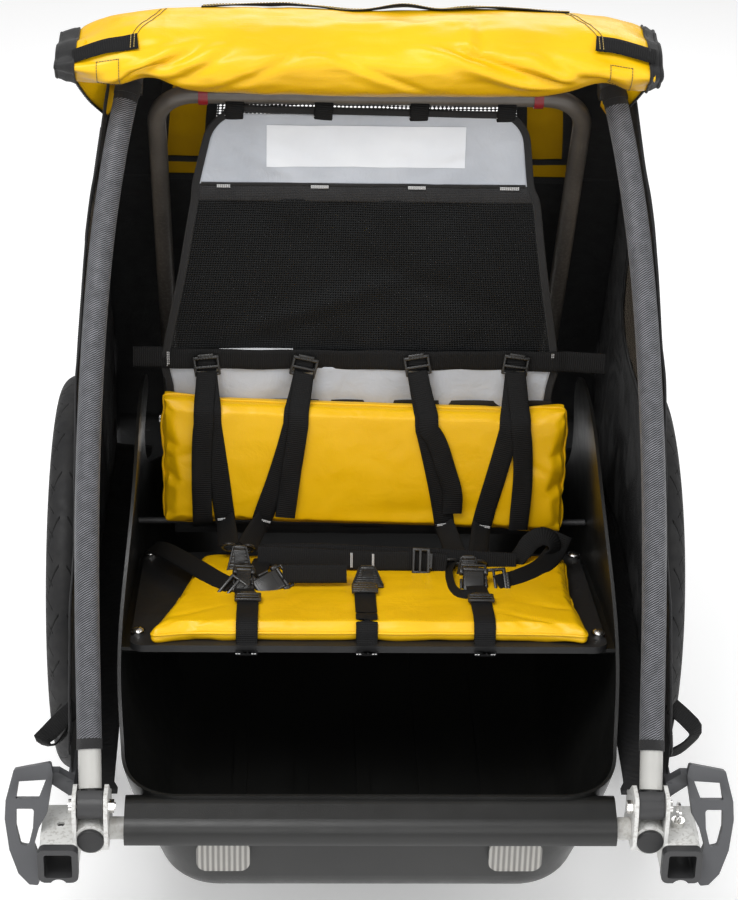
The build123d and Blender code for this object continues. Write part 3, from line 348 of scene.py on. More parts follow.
def window_film():
    """Smoky see-through film, hazy in patches and softly dented."""
    mat = Shader("window_film")
    mat.tree.nodes.remove(mat.surface)

    def blend(factor, first, second):
        node = mat.node("MixShader")
        for socket, value in zip(node.inputs, (factor, first, second)):
            mat.put(socket, value)
        return node.outputs[0]

    dents = mat.node("Bump", Distance=0.004, Strength=0.5,
                     Height=mat.noise(scale=14.0, detail=4.0, distortion=0.8)).outputs[0]
    clear = mat.node("BsdfTransparent", Color=(0.40, 0.33, 0.25)).outputs[0]
    gloss = mat.node("BsdfGlossy", Color=(0.75, 0.72, 0.68), Roughness=0.16, Normal=dents)
    haze = mat.node("BsdfDiffuse", Color=(0.10, 0.075, 0.05)).outputs[0]
    fresnel = mat.node("Fresnel", IOR=1.45, Normal=dents).outputs[0]
    hazy = mat.ramp(mat.noise(scale=60.0, detail=4.0), span=(0.35, 0.75), to=(0.12, 0.34))
    shine = mat.add(mat.times(fresnel, 0.9), 0.03)
    mat.put(mat.output.inputs[0], blend(shine, blend(hazy, clear, haze), gloss.outputs[0]))
    return mat.material


def lens(name, color):
    """Reflector plastic with ribs and a field of small square prisms; the ribs carry painted shade
    in darker bands.
    """
    mat = Shader(name)
    coords = mat.coords()
    ribs = mat.wave(scale=52.0, direction="X", coords=coords)
    prisms = mat.node("TexVoronoi", Scale=420.0, Vector=coords)
    prisms.distance = "CHEBYCHEV"
    prisms.inputs["Randomness"].default_value = 0.15
    # painted shade: the colour darkens along the low side of each rib, following the rib relief
    dark = tuple(part * 0.45 for part in color)
    mat.set(Base_Color=mat.mix(mat.ramp(ribs, span=(0.15, 0.85)), dark, color),
            Roughness=0.12, Transmission_Weight=0.35, IOR=1.49, Coat_Weight=0.5)
    ribbed = mat.bump(ribs, distance=0.0010, strength=0.8)
    mat.bump(prisms.outputs["Distance"], distance=0.0005, strength=0.6, after=ribbed)
    return mat.material


def tyre_rubber():
    """Dusty rubber with painted shade in its grooves; U runs round the tyre and V across it from
    the tread's middle.
    """
    mat = Shader("tyre_rubber")
    around, across = mat.uv()
    out = mat.math("ABSOLUTE", across)

    def grooves(phase, line, inner, outer):
        """Thin lines at each half phase, kept between two fading distances from the middle."""
        near = mat.math("ABSOLUTE", mat.math("SUBTRACT", mat.math("FRACT", phase), 0.5))
        kept = mat.times(mat.ramp(out, inner), mat.ramp(out, outer, to=(1.0, 0.0)))
        return mat.times(mat.ramp(near, line, to=(1.0, 0.0)), kept)

    curve = mat.math("POWER", mat.times(out, 36.0), 1.6)
    long_sipes = grooves(mat.add(mat.times(around, 1.0 / 0.058), curve, weight=1.1),
                         line=(0.018, 0.040), inner=(0.004, 0.0055), outer=(0.026, 0.030))
    short_sipes = grooves(mat.add(mat.times(around, 1.0 / 0.029), out, weight=-46.0),
                          line=(0.03, 0.06), inner=(0.012, 0.013), outer=(0.021, 0.022))
    groove = mat.math("MAXIMUM", long_sipes, short_sipes)
    dust = mat.ramp(mat.noise(scale=30.0, detail=5.0), span=(0.4, 0.75), to=(0.0, 0.6))
    base = mat.mix(dust, (0.014, 0.014, 0.015), (0.030, 0.029, 0.028))
    # painted shade: the grooves are coloured near black, darker than the rubber itself
    mat.set(Base_Color=mat.mix(groove, base, (0.004, 0.004, 0.004)), Specular_IOR_Level=0.35,
            Roughness=mat.cloud(scale=80.0, to=(0.55, 0.75)))
    rings = mat.times(mat.wave_of(across, period=0.0016), mat.ramp(out, span=(0.034, 0.036)))
    relief = mat.bump(mat.add(mat.times(groove, -1.0), rings, weight=0.12), distance=0.0016)
    mat.bump(mat.noise(scale=1500.0, detail=2.0), distance=0.0001, strength=0.5, after=relief)
    return mat.material


def thread(name, color):
    """Twisted sewing thread."""
    mat = Shader(name)
    twist = mat.wave(scale=300.0, direction="DIAGONAL")
    mat.set(Base_Color=mat.mix(twist, tuple(part * 0.6 for part in color), color),
            Roughness=0.6, Sheen_Weight=0.3)
    mat.bump(twist, distance=0.0003, strength=0.8)
    return mat.material


# where two colours are given, they are the dark and light ends of the mottling
MATERIALS = {
    "tub": plastic("tub_plastic", (0.0065, 0.0066, 0.0062), (0.0105, 0.0105, 0.0098),
                   roughness=(0.28, 0.38), grain=1100.0, depth=0.00016, specular=0.55),
    "black": plastic("black_plastic", (0.009, 0.009, 0.0095), (0.015, 0.015, 0.016),
                     roughness=(0.36, 0.48), grain=1500.0, wear=0.25),
    "guard": plastic("guard_plastic", (0.034, 0.035, 0.038), (0.050, 0.051, 0.055),
                     roughness=(0.42, 0.55), grain=1300.0, wear=0.2),
    "buckle": plastic("buckle_plastic", (0.0065, 0.0065, 0.0065), (0.012, 0.0115, 0.011),
                      roughness=(0.22, 0.34), grain=2200.0, depth=0.00006, wear=0.2,
                      specular=0.6),
    "board": plastic("seat_board", (0.008, 0.008, 0.0085), (0.014, 0.014, 0.0145),
                     roughness=(0.5, 0.62)),
    "light": painted("light_tube_paint", (0.45, 0.445, 0.425), (0.52, 0.515, 0.49)),
    "casting": painted("corner_paint", (0.64, 0.64, 0.62), (0.72, 0.72, 0.70),
                       roughness=(0.38, 0.5)),
    "hoop": painted("hoop_paint", (0.095, 0.085, 0.075), (0.14, 0.125, 0.11),
                    roughness=(0.34, 0.46), metallic=0.25),
    "chrome": metal("bright_steel", (0.80, 0.79, 0.77), roughness=(0.10, 0.22)),
    "alloy": metal("alloy", (0.62, 0.62, 0.63), roughness=(0.26, 0.40), brushed=(1, 12, 12)),
    "spoke": metal("spoke_steel", (0.66, 0.66, 0.66), roughness=(0.18, 0.3)),
    "red": plastic("red_plastic", (0.20, 0.006, 0.014), (0.27, 0.010, 0.020),
                   roughness=(0.28, 0.4)),
    "yellow": yellow_vinyl(),
    "grey": coated_cloth("grey_cloth", (0.43, 0.455, 0.50), (0.53, 0.555, 0.60),
                         roughness=(0.42, 0.56), crease=0.006, weave=0.0002),
    "cloth": coated_cloth("black_cloth", (0.0050, 0.0052, 0.0058), (0.0095, 0.0096, 0.0105),
                          roughness=(0.62, 0.78), weave=0.0004, pitch=300.0, sheen=0.06),
    "binding": coated_cloth("binding_tape", (0.0055, 0.0055, 0.006), (0.010, 0.010, 0.011),
                            roughness=(0.62, 0.75), crease=0.001, weave=0.0005, pitch=520.0,
                            sheen=0.08),
    "web": webbing("webbing", (0.0036, 0.0036, 0.0038)),
    "sleeve": sleeve_weave(),
    "mesh": knitted_mesh("seat_mesh", pitch=0.0029, open_at=0.75, color=(0.0034, 0.0040, 0.0046)),
    "rearmesh": knitted_mesh("rear_mesh", pitch=0.0052, open_at=0.15, color=(0.010, 0.010, 0.011)),
    "ribmesh": coated_cloth("ribbed_band", (0.006, 0.006, 0.007), (0.012, 0.012, 0.013),
                            roughness=(0.6, 0.75), crease=0.001, weave=0.0009, pitch=150.0,
                            sheen=0.08),
    "film": window_film(),
    "clear": lens("clear_lens", (0.62, 0.60, 0.56)),
    "redlens": lens("red_lens", (0.55, 0.012, 0.012)),
    "tyre": tyre_rubber(),
    "white_thread": thread("white_thread", (0.75, 0.75, 0.75)),
    "yellow_thread": thread("yellow_thread", (0.72, 0.50, 0.12)),
    "dark_thread": thread("dark_thread", (0.06, 0.045, 0.02)),
    "label": coated_cloth("plain_patch", (0.72, 0.74, 0.78), (0.80, 0.82, 0.85),
                          roughness=(0.35, 0.45), crease=0.0015, weave=0.0001),
}

# the CAD pieces that wear each material
MATERIAL_NODES = {
    "tub": "tub",
    "light": "side_rails front_cross_tube rear_cross_tube upright_tubes roof_cross_tube",
    "hoop": "rear_hoop",
    "casting": "front_corner_left front_corner_right",
    "black": "rail_end_caps tow_socket_liners hinge_stop_blocks hinge_knuckles hoop_knuckles "
             "top_connectors rear_hinge_brackets wheel_release_button_left "
             "wheel_release_button_right backrest_rod",
    "guard": "wheel_guard_left wheel_guard_right",
    "chrome": "hinge_bolts hinge_nuts hitch_pin seat_screws wheel_axles hub_bearings_left "
              "hub_bearings_right",
    "red": "seat_back_clips",
    "alloy": "axle_receivers rim_left rim_right hub_left hub_right",
    "spoke": "spokes_left spokes_right",
    "board": "seat_board backrest_board",
    "sleeve": "upright_sleeves",
    "tyre": "tyre_left tyre_right",
    "yellow": "seat_cushion back_cushion front_cover_roll roof_panel",
    "grey": "seat_back",
    "cloth": "side_panel_left side_panel_right rear_panel",
    "web": "harness_band shoulder_straps crotch_straps lap_belts strap_loops",
    "buckle": "harness_buckles",
    "film": "side_window_left side_window_right",
    "clear": "front_reflectors",
    "redlens": "rear_reflectors",
}
NODE_MATERIAL = {node: key for key, nodes in MATERIAL_NODES.items() for node in nodes.split()}
for node_name, node_object in frame["nodes"].items():
    for material_slot in node_object.material_slots:
        material_slot.link = "OBJECT"
        material_slot.material = MATERIALS[NODE_MATERIAL[node_name]]


# ------------------------------------------------------------------ mesh tools
class Shape:
    """Gathers faces with UVs in metres, then makes one object of them."""

    def __init__(self):
        self.verts, self.faces, self.uvs = [], [], []

    def grid(self, rows, uv, close_u=False, close_v=False):
        """Quads over rows of points; uv is a step (across, along) or a function of (i, j)."""
        base = len(self.verts)
        height, width = len(rows), len(rows[0])
        find_uv = uv if callable(uv) else lambda i, j: (j * uv[0], i * uv[1])
        for row in rows:
            self.verts.extend([tuple(spot) for spot in row])
        for i in range(height if close_v else height - 1):
            for j in range(width if close_u else width - 1):
                below, beside = (i + 1) % height, (j + 1) % width
                self.faces.append((base + i * width + j, base + i * width + beside,
                                   base + below * width + beside, base + below * width + j))
                self.uvs.append((find_uv(i, j), find_uv(i, j + 1),
                                 find_uv(i + 1, j + 1), find_uv(i + 1, j)))

    def cap(self, ring, flip):
        base = len(self.verts)
        self.verts.extend([tuple(spot) for spot in ring])
        corners = tuple(range(base, base + len(ring)))
        self.faces.append(corners[::-1] if flip else corners)
        self.uvs.append(((0.0, 0.0),) * len(ring))

    def add(self, verts, faces, place):
        base = len(self.verts)
        self.verts.extend([tuple(place @ Vector(vert)) for vert in verts])
        for face in faces:
            self.faces.append(tuple(base + i for i in face))
            self.uvs.append(tuple((verts[i][0], verts[i][1]) for i in face))

    def make(self, name, material, body=None, thick=None, offset=-1.0, angle=None, slot=None,
             replaces=()):
        """Thick gives the sheet a thickness; angle keeps edges sharper than it unsmoothed."""
        mesh = bpy.data.meshes.new(name)
        mesh.from_pydata(self.verts, [], self.faces)
        layer = mesh.uv_layers.new(name="UVMap")
        corners = [uv for face_uvs in self.uvs for uv in face_uvs]
        for corner, uv in zip(layer.data, corners):
            corner.uv = uv
        mesh.materials.append(MATERIALS[material])
        mesh.polygons.foreach_set("use_smooth", [True] * len(mesh.polygons))
        mesh.update()
        made = bpy.data.objects.new(name, mesh)
        bpy.context.scene.collection.objects.link(made)
        if angle is not None:
            bpy.context.view_layer.objects.active = made
            made.select_set(True)
            bpy.ops.object.shade_smooth_by_angle(angle=math.radians(angle))
            made.select_set(False)
        if thick:
            solid = made.modifiers.new("solidify", "SOLIDIFY")
            solid.thickness = thick
            solid.offset = offset
            apply_modifiers(made)
        if body:
            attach(made, body)
        if replaces:
            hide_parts(*replaces)
        return made


def apply_modifiers(target):
    bpy.context.view_layer.update()
    graph = bpy.context.evaluated_depsgraph_get()
    mesh = bpy.data.meshes.new_from_object(target.evaluated_get(graph))
    target.modifiers.clear()
    target.data = mesh


def lengths(path):
    """Distance along the path at each of its points."""
    out = [0.0]
    for start, end in zip(path, path[1:]):
        out.append(out[-1] + (end - start).length)
    return out


def path_length(path):
    return lengths([Vector(spot) for spot in path])[-1]


def spline(stations, steps):
    """Catmull-Rom curve through the stations, resampled to steps + 1 evenly spaced points."""
    stations = [Vector(station) for station in stations]
    if len(stations) == 2:
        return [stations[0].lerp(stations[1], i / steps) for i in range(steps + 1)]
    padded = [stations[0] * 2 - stations[1]] + stations + [stations[-1] * 2 - stations[-2]]
    fine = []
    for i in range(1, len(padded) - 2):
        before, start, end, after = padded[i - 1:i + 3]
        for j in range(16):
            share = j / 16
            fine.append(0.5 * ((2 * start) + (end - before) * share
                               + (2 * before - 5 * start + 4 * end - after) * share * share
                               + (3 * start - before - 3 * end + after) * share ** 3))
    fine.append(stations[-1])
    run = lengths(fine)
    out, k = [], 0
    for i in range(steps + 1):
        wanted = run[-1] * i / steps
        while k < len(run) - 2 and run[k + 1] < wanted:
            k += 1
        gap = run[k + 1] - run[k]
        out.append(fine[k].lerp(fine[k + 1], 0 if gap < 1e-12 else (wanted - run[k]) / gap))
    return out


def tangent(curve, i):
    return (curve[min(i + 1, len(curve) - 1)] - curve[max(i - 1, 0)]).normalized()


def square_to(vector, axis):
    """The part of a vector that stands square to a unit axis."""
    return vector - axis * vector.dot(axis)


def default_steps(path):
    """One step for each 6 mm of the path, and at least six."""
    return max(6, int(path_length(path) / 0.006))


def ribbon(shape, path, normals, width, thick, steps=None):
    """Flat webbing along the path; its face looks along one Vector or one normal a station."""
    steps = steps or default_steps(path)
    curve = spline(path, steps)
    if isinstance(normals, Vector):
        faces = [normals] * (steps + 1)
    else:
        faces = spline(normals, steps)
    run = lengths(curve)
    half, skin = width / 2, thick / 2
    profile = [(-half, 0.0), (-half + skin, skin), (-half * 0.5, skin * 1.05), (0.0, skin * 1.1),
               (half * 0.5, skin * 1.05), (half - skin, skin), (half, 0.0), (half - skin, -skin),
               (half * 0.5, -skin), (0.0, -skin), (-half * 0.5, -skin), (-half + skin, -skin)]
    rows = []
    for i in range(steps + 1):
        along = tangent(curve, i)
        up = square_to(faces[i], along)
        up = up.normalized() if up.length > 1e-6 else Vector((0, 0, 1))
        side = along.cross(up)
        rows.append([curve[i] + side * across + up * rise for across, rise in profile])
    across = [spot[0] for spot in profile] + [profile[0][0]]
    shape.grid(rows, lambda i, j: (across[j], run[i]), close_u=True)
    shape.cap(rows[0], flip=False)
    shape.cap(rows[-1], flip=True)


def tube(shape, path, radius, sides=10, steps=None, cap=True, swell=lambda share: 1.0):
    """Round tube along the path; swell scales its radius by the share of the way along."""
    steps = steps or default_steps(path)
    curve = spline(path, steps)
    run = lengths(curve)
    up = square_to(Vector((0.13, 0.27, 0.95)), tangent(curve, 0)).normalized()
    rows = []
    for i in range(steps + 1):
        along = tangent(curve, i)
        up = square_to(up, along).normalized()
        side = along.cross(up)
        reach = radius * swell(i / steps)
        turns = [2 * math.pi * j / sides for j in range(sides)]
        rows.append([curve[i] + (up * math.cos(turn) + side * math.sin(turn)) * reach
                     for turn in turns])
    shape.grid(rows, lambda i, j: (j * 2 * math.pi * radius / sides, run[i]), close_u=True)
    if cap:
        shape.cap(rows[0], flip=False)
        shape.cap(rows[-1], flip=True)


def stitches(shape, path, normal, pitch=0.004, size=0.0026, radius=0.00042, lift=0.0):
    """A row of separate thread stitches, arched if they are lifted."""
    count = max(1, int(path_length(path) / pitch))
    curve = spline(path, count * 2)
    raised = Vector(normal).normalized() * lift
    for i in range(count):
        start, end = curve[2 * i], curve[2 * i + 1]
        reach = end - start
        if reach.length < 1e-7:
            continue
        reach = reach.normalized() * size / 2
        middle = (start + end) / 2 + raised
        crown = middle + raised.normalized() * radius * 0.9 if lift else middle
        tube(shape, [middle - reach, crown, middle + reach], radius, 5, 2)


@functools.lru_cache(maxsize=None)
def rounded_box(size_x, size_y, size_z, radius):
    """Vertices and faces of a rounded block centred on the origin."""
    work = bmesh.new()
    bmesh.ops.create_cube(work, size=1.0)
    bmesh.ops.scale(work, vec=(size_x, size_y, size_z), verts=work.verts)
    bmesh.ops.bevel(work, geom=list(work.edges), offset=radius, segments=3, profile=0.5,
                    affect="EDGES")
    work.verts.ensure_lookup_table()
    verts = [tuple(vert.co) for vert in work.verts]
    faces = [tuple(vert.index for vert in face.verts) for face in work.faces]
    work.free()
    return verts, faces


def frame_at(origin, x_axis, z_axis):
    """Matrix placed at the origin; the z axis is kept and the x axis made square to it."""
    axis_z = Vector(z_axis).normalized()
    axis_x = square_to(Vector(x_axis), axis_z).normalized()
    matrix = Matrix((axis_x, axis_z.cross(axis_x), axis_z)).transposed().to_4x4()
    matrix.translation = origin
    return matrix


def blocks(shape, place, rows):
    """Rounded blocks. Rows: centre x, y, z, size x, y, z and edge radius, in millimetres."""
    for row in rows:
        x, y, z, *size = (number * MILLI for number in row)
        verts, faces = rounded_box(*size)
        shape.add(verts, faces, place @ Matrix.Translation((x, y, z)))


# ------------------------------------------------------------------ lines of the frame
PIVOT_Y, PIVOT_Z = (PIVOT.y - AXLE_Y) / MILLI, PIVOT.z / MILLI
UPRIGHT_TOP_Y, UPRIGHT_TOP_Z = 20.0, 897.0
UPRIGHT_LINE = Vector((0, UPRIGHT_TOP_Y - PIVOT_Y, UPRIGHT_TOP_Z - PIVOT_Z))
UPRIGHT_LENGTH = UPRIGHT_LINE.length
UPRIGHT_AXIS = UPRIGHT_LINE.normalized()
# share of the upright's length from the pivot, distance from the middle plane
UPRIGHT_X = [(0.0, 308), (0.12, 312), (0.28, 317), (0.45, 319), (0.62, 316), (0.77, 308.5),
             (0.90, 295.5), (1.0, 281)]
BACK_RUN, BACK_RISE = 30.0, 556.0                      # lean of the seat back
SEAT_SLOPE = 0.19                                      # fall of the seat toward the rear
BACK_HANG = 0.0286                                     # the back cushion hangs lower at +X
CUSHION_UP = Vector((0, 48, 560)).normalized()         # up along the back cushion
CUSHION_OUT = Vector((0, -CUSHION_UP.z, CUSHION_UP.y))   # out of its front face
SEAT_NORMAL = Vector((0, SEAT_SLOPE, 1)).normalized()
BACK_ANGLE = math.atan(30 / 556)
BACK_NORMAL = Vector((0, -math.cos(BACK_ANGLE), math.sin(BACK_ANGLE)))


def upright_x(share):
    """Smooth curve through UPRIGHT_X, straight-ended."""
    k = next(i for i in range(len(UPRIGHT_X) - 1) if share <= UPRIGHT_X[i + 1][0] + 1e-9)
    (share0, x0), (share1, x1) = UPRIGHT_X[k], UPRIGHT_X[k + 1]
    span = share1 - share0
    part = (share - share0) / span
    slope0 = slope1 = x1 - x0
    if k > 0:
        before = UPRIGHT_X[k - 1]
        slope0 = (x1 - before[1]) / (share1 - before[0]) * span
    if k + 2 < len(UPRIGHT_X):
        after = UPRIGHT_X[k + 2]
        slope1 = (after[1] - x0) / (after[0] - share0) * span
    return ((2 * part**3 - 3 * part**2 + 1) * x0 + (part**3 - 2 * part**2 + part) * slope0
            + (-2 * part**3 + 3 * part**2) * x1 + (part**3 - part**2) * slope1)


def upright(share, sign):
    return point(sign * upright_x(share), PIVOT_Y + UPRIGHT_AXIS.y * share * UPRIGHT_LENGTH,
                 PIVOT_Z + UPRIGHT_AXIS.z * share * UPRIGHT_LENGTH)


def back_y(z):
    return 24.0 - (856.0 - z) * BACK_RUN / BACK_RISE


def back_point(x, z, off=0.0):
    """Point off the front of the seat back's plane."""
    return point(x, back_y(z) - off, z)


def seat_z(y):
    return 344.0 - (y + 306.0) * SEAT_SLOPE


def seat_point(x, y, height):
    return point(x, y, seat_z(y) + height)


# ------------------------------------------------------------------ tyres with a cut tread
TYRE_STEPS = 720
TREAD_CUTS = 27
CUT_DEPTH = 1.3
CUT_INNER, CUT_OUTER = 11.0, 25.0          # distance of the cuts from the tread's middle
BEAD = [(11.2, 206.0), (12.6, 210.0), (15.0, 213.0)]    # x from the wheel's middle, radius


def tyre(side, sign):
    body = f"wheel_{side}"
    centre_x = AXLE.x * sign
    angles = [math.radians(angle) for angle in range(122, -123, -7)]
    arc = [(21.0 * math.sin(angle), 229.0 + 21.0 * math.cos(angle)) for angle in angles]
    section = BEAD + arc + [(-x, radius) for x, radius in BEAD[::-1]]
    run = [0.0]
    for (x0, radius0), (x1, radius1) in zip(section, section[1:]):
        run.append(run[-1] + math.hypot(x1 - x0, radius1 - radius0))
    middle = run[-1] / 2
    rows = []
    for i in range(TYRE_STEPS):
        turn = 2 * math.pi * i / TYRE_STEPS
        row = []
        for k, (x, radius) in enumerate(section):
            out = abs(run[k] - middle)
            if CUT_INNER < out < CUT_OUTER:
                # curved cuts, half a pitch apart on the two sides of the tread
                phase = (turn * TREAD_CUTS / (2 * math.pi) + (out * 0.036) ** 1.6 * 1.1
                         + (0.5 if run[k] > middle else 0.0)) % 1.0
                if phase < 0.09:
                    share = (out - CUT_INNER) / (CUT_OUTER - CUT_INNER)
                    radius -= CUT_DEPTH * math.sin(math.pi * share)
            row.append(Vector((centre_x + x * MILLI,
                               AXLE.y - radius * MILLI * math.cos(turn),
                               AXLE.z + radius * MILLI * math.sin(turn))))
        rows.append(row)
    shape = Shape()
    shape.grid(rows, lambda i, j: (2 * math.pi * 0.25 * i / TYRE_STEPS,
                                   (run[j] - middle) * MILLI), close_v=True)
    shape.make(f"tyre_tread_{side}", "tyre", body, replaces=[f"tyre_{side}"])
    shape = Shape()
    foot = Vector((centre_x, AXLE.y - 0.190, AXLE.z))
    stem = [foot, foot + Vector((0, 0.012, 0)), foot + Vector((0, 0.034, 0.0))]
    tube(shape, stem, 0.0032, 12, 8, swell=lambda share: 1.0 if share < 0.75 else 0.72)
    shape.make(f"valve_stem_{side}", "black", body)


# ------------------------------------------------------------------ sleeves on the uprights
SLEEVE_FOOT, SLEEVE_TOP = 0.074, 0.985     # shares of the upright's length


def sleeve(side, sign):
    shape = Shape()
    path = [upright(SLEEVE_FOOT + (SLEEVE_TOP - SLEEVE_FOOT) * i / 24, sign) for i in range(25)]
    tube(shape, path, 0.01385, 28, 180, cap=False,
         swell=lambda share: 1.0 + 0.03 * bell(share, 0.004))
    shape.make(f"sleeve_cover_{side}", "sleeve", "uprights",
               replaces=["upright_sleeves"] if side == "left" else ())
    shape = Shape()
    for start, end in ((SLEEVE_FOOT, 0.088), (0.972, 0.986)):
        middle = (start + end) / 2
        tube(shape, [upright(share, sign) for share in (start, middle, end)], 0.01425, 28, 10)
    # black boot over the top of the tube
    tube(shape, [upright(share, sign) for share in (0.982, 0.991, 1.0)], 0.0152, 28, 12)
    shape.make(f"sleeve_cuff_{side}", "binding", "uprights")


for make_pair in (tyre, sleeve):
    for side_name, side_sign in SIDES:
        make_pair(side_name, side_sign)


# ------------------------------------------------------------------ roof and rolled front cover
# One curved yellow sheet. "turn" is the share of the way along its section, from the tucked
# inner edge (0), under and round the front, over the crest, to the roof's rear edge (1).
COVER_LEFT, COVER_RIGHT = 317.0, -343.0    # x of the roll's ends
COVER_COLUMNS, COVER_ROWS = 190, 84
# distance from the middle plane, drop of the roll
ROLL_DROOP = [(0, 0), (236, 0), (270, 4), (300, 11), (330, 21), (352, 30)]
# distance from the middle plane, last turn: the overhanging ends have no roof behind them
LAST_TURN = [(0, 1.0), (286, 1.0), (298, 0.86), (312, 0.76), (349, 0.66)]


def cover_profile(x):
    """Section at x as (y, z) points."""
    out = abs(x)
    # the roll sags between the uprights and lifts where they carry it
    lift = 20.0 * bell(out - 258, 34.0) - 4.0 * bell(x, 150.0)
    end = min(1.0, max(0.0, (out - 285.0) / 60.0))
    rise = lift * 0.85 + end * 16.0
    fwd = -3.0 * bell(out - 150, 90.0)
    droop = piecewise(ROLL_DROOP, out)
    crest = 985.0 - 10.0 * end ** 1.4 - 1.5 * math.cos(x / 42.0) * (1 - end) - droop
    return [
        (-2.0, 926.0 + rise * 0.4),
        (-9.0, 914.0 + rise * 0.7),
        (-22.0 + fwd * 0.3, 906.0 + rise),
        (-38.0 + fwd * 0.7, 909.0 + rise * 0.9),
        (-51.0 + fwd, 922.0 + rise * 0.7),
        (-57.0 + fwd, 940.0 + rise * 0.35 - droop * 0.2),
        (-52.0 + fwd * 0.8, 957.0 + rise * 0.1 - droop * 0.6),
        (-38.0 + fwd * 0.4, 970.0 - droop * 0.85),
        (-16.0, lerp(979.5 - droop, crest - 3, 0.3)),
        (8.0, crest - 1.5),
        (30.0, crest - 1.0),
        (50.0, crest - 7.0 * (1.0 - end) - 6.0 * end),
        (66.0, crest - 19.0 - 3.0 * end),
        (80.0, crest - 36.0 - 3 * end),
        (90.0, crest - 55.0),
        (97.5, 912.0),
    ]


# Turns between which each kind of fold fades in and out, as (turn, strength)
DEEP_FADE = [(0.25, 0), (0.295, 1), (0.41, 1), (0.46, 0)]
RIDGE_FADE = [(0.40, 0), (0.45, 1), (0.54, 0.7), (0.60, 0)]
RIGHT_FADE = [(0.23, 0), (0.28, 1), (0.40, 1), (0.47, 0)]
LEFT_FADE = [(0.23, 0), (0.27, 1), (0.38, 1), (0.45, 0)]
RIPPLE_FADE = [(0.08, 0.6), (0.24, 0.6), (0.34, 1)]
GATHER_FADE = [(0.05, 0.3), (0.2, 1), (0.5, 0.8), (0.66, 0)]
# Short diagonal pulls near each upright: fade, squeeze across the fold, ridge height as a
# share of the depth, ridge offset, ridge width, then rows of x, turn, slope and depth
PULLS = [
    (RIGHT_FADE, 1.9, 0.75, 11.5, 8.5,
     [(-255.0, 0.305, 440.0, 6.5), (-214.0, 0.285, 380.0, 3.6), (-148.0, 0.29, 520.0, 2.2)]),
    (LEFT_FADE, 1.7, 0.7, 11.0, 9.0,
     [(236.0, 0.29, -330.0, 3.6), (36.0, 0.28, -640.0, 2.0)]),
]


def fold_height(x, turn):
    """Height of the creases in the rolled cloth, in millimetres."""
    out = abs(x)
    # one deep fold left of the middle: an upright ridge that runs down into a diagonal valley
    across = ((x - 106.0) + (turn - 0.425) * 690.0) / 2.74
    height = piecewise(DEEP_FADE, turn) * (
        -9.0 * bell(across, 6.0) + 6.5 * bell(across + 12.5, 8.5) + 2.0 * bell(across - 17.0, 11.0))
    height += piecewise(RIDGE_FADE, turn) * (4.6 * bell(x - 106.0, 9.0)
                                             - 2.4 * bell(x - 122.0, 8.0))
    for fade, squeeze, ridge, offset, width, rows in PULLS:
        strength = piecewise(fade, turn)
        for x0, turn0, slope, depth in rows:
            across = ((x - x0) - (turn - turn0) * slope) / squeeze
            height += depth * strength * (ridge * bell(across + offset, width)
                                          - bell(across, 6.0))
    ripples = (2.6 * waver(x, turn * 900, 3.0, 0.011)
               + 1.4 * waver(x * 1.4, turn * 1500, 9.0, 0.021))
    height += ripples * piecewise(RIPPLE_FADE, turn)
    # gathers over each upright and toward the bound ends
    height += (2.4 * bell(out - 262, 26.0) * math.sin((x * 0.55 + turn * 300) / 9.0)
               * piecewise(GATHER_FADE, turn))
    end = max(0.0, (out - 285) / 50.0)
    height += 3.0 * end * math.sin(turn * 34.0 + x * 0.05)
    # long shallow waves where the layers lie over each other
    return height + 1.2 * math.sin(turn * 38.0 + x * 0.006) * bell(turn - 0.36, 0.20)


def cover_point(x, turn, off=0.0, wrinkle=True):
    """Point on the cover, raised by off millimetres, and its outward normal."""
    profile = cover_profile(x)
    last = len(profile) - 1
    k = min(int(turn * last), last - 1)
    part = turn * last - k
    before, start, end, after = (Vector((0, *profile[max(0, min(last, k + i))]))
                                 for i in (-1, 0, 1, 2))
    linear = end - before
    square = 2 * before - 5 * start + 4 * end - after
    cubic = 3 * start - before - 3 * end + after
    spot = 0.5 * ((2 * start) + linear * part + square * part * part
                  + cubic * part * part * part)
    along = 0.5 * (linear + square * 2 * part + cubic * 3 * part * part)
    normal = Vector((0, -along.z, along.y)).normalized()
    fold = fold_height(x, turn) if wrinkle else 0.0
    edge = 1.0 if 0.03 < turn < 0.97 else 0.4
    spot = spot + normal * (fold * edge + off)
    return point(x, spot.y, spot.z), normal


def find_turn(x, y, z):
    """Turn at which the unwrinkled section lies nearest to (y, z)."""
    def distance(k):
        spot = cover_point(x, k / 300, wrinkle=False)[0]
        return (spot.y - AXLE_Y - y * MILLI) ** 2 + (spot.z - z * MILLI) ** 2
    return min(range(301), key=distance) / 300


def cover_line(x0, turn0, x1, turn1, steps, off):
    """Points and normals along a line on the cover."""
    pairs = [cover_point(lerp(x0, x1, i / steps), lerp(turn0, turn1, i / steps), off)
             for i in range(steps + 1)]
    return [spot for spot, normal in pairs], [normal for spot, normal in pairs]


def cover_sheet():
    def place(down, across):
        x = lerp(COVER_RIGHT, COVER_LEFT, across)
        return cover_point(x, down * piecewise(LAST_TURN, abs(x)))[0]
    shape = Shape()
    shape.grid(lattice(COVER_ROWS, COVER_COLUMNS, place), (0.0036, 0.0036))
    shape.make("roof_and_rolled_cover", "yellow", "uprights", thick=0.0012,
               replaces=["front_cover_roll", "roof_panel"])


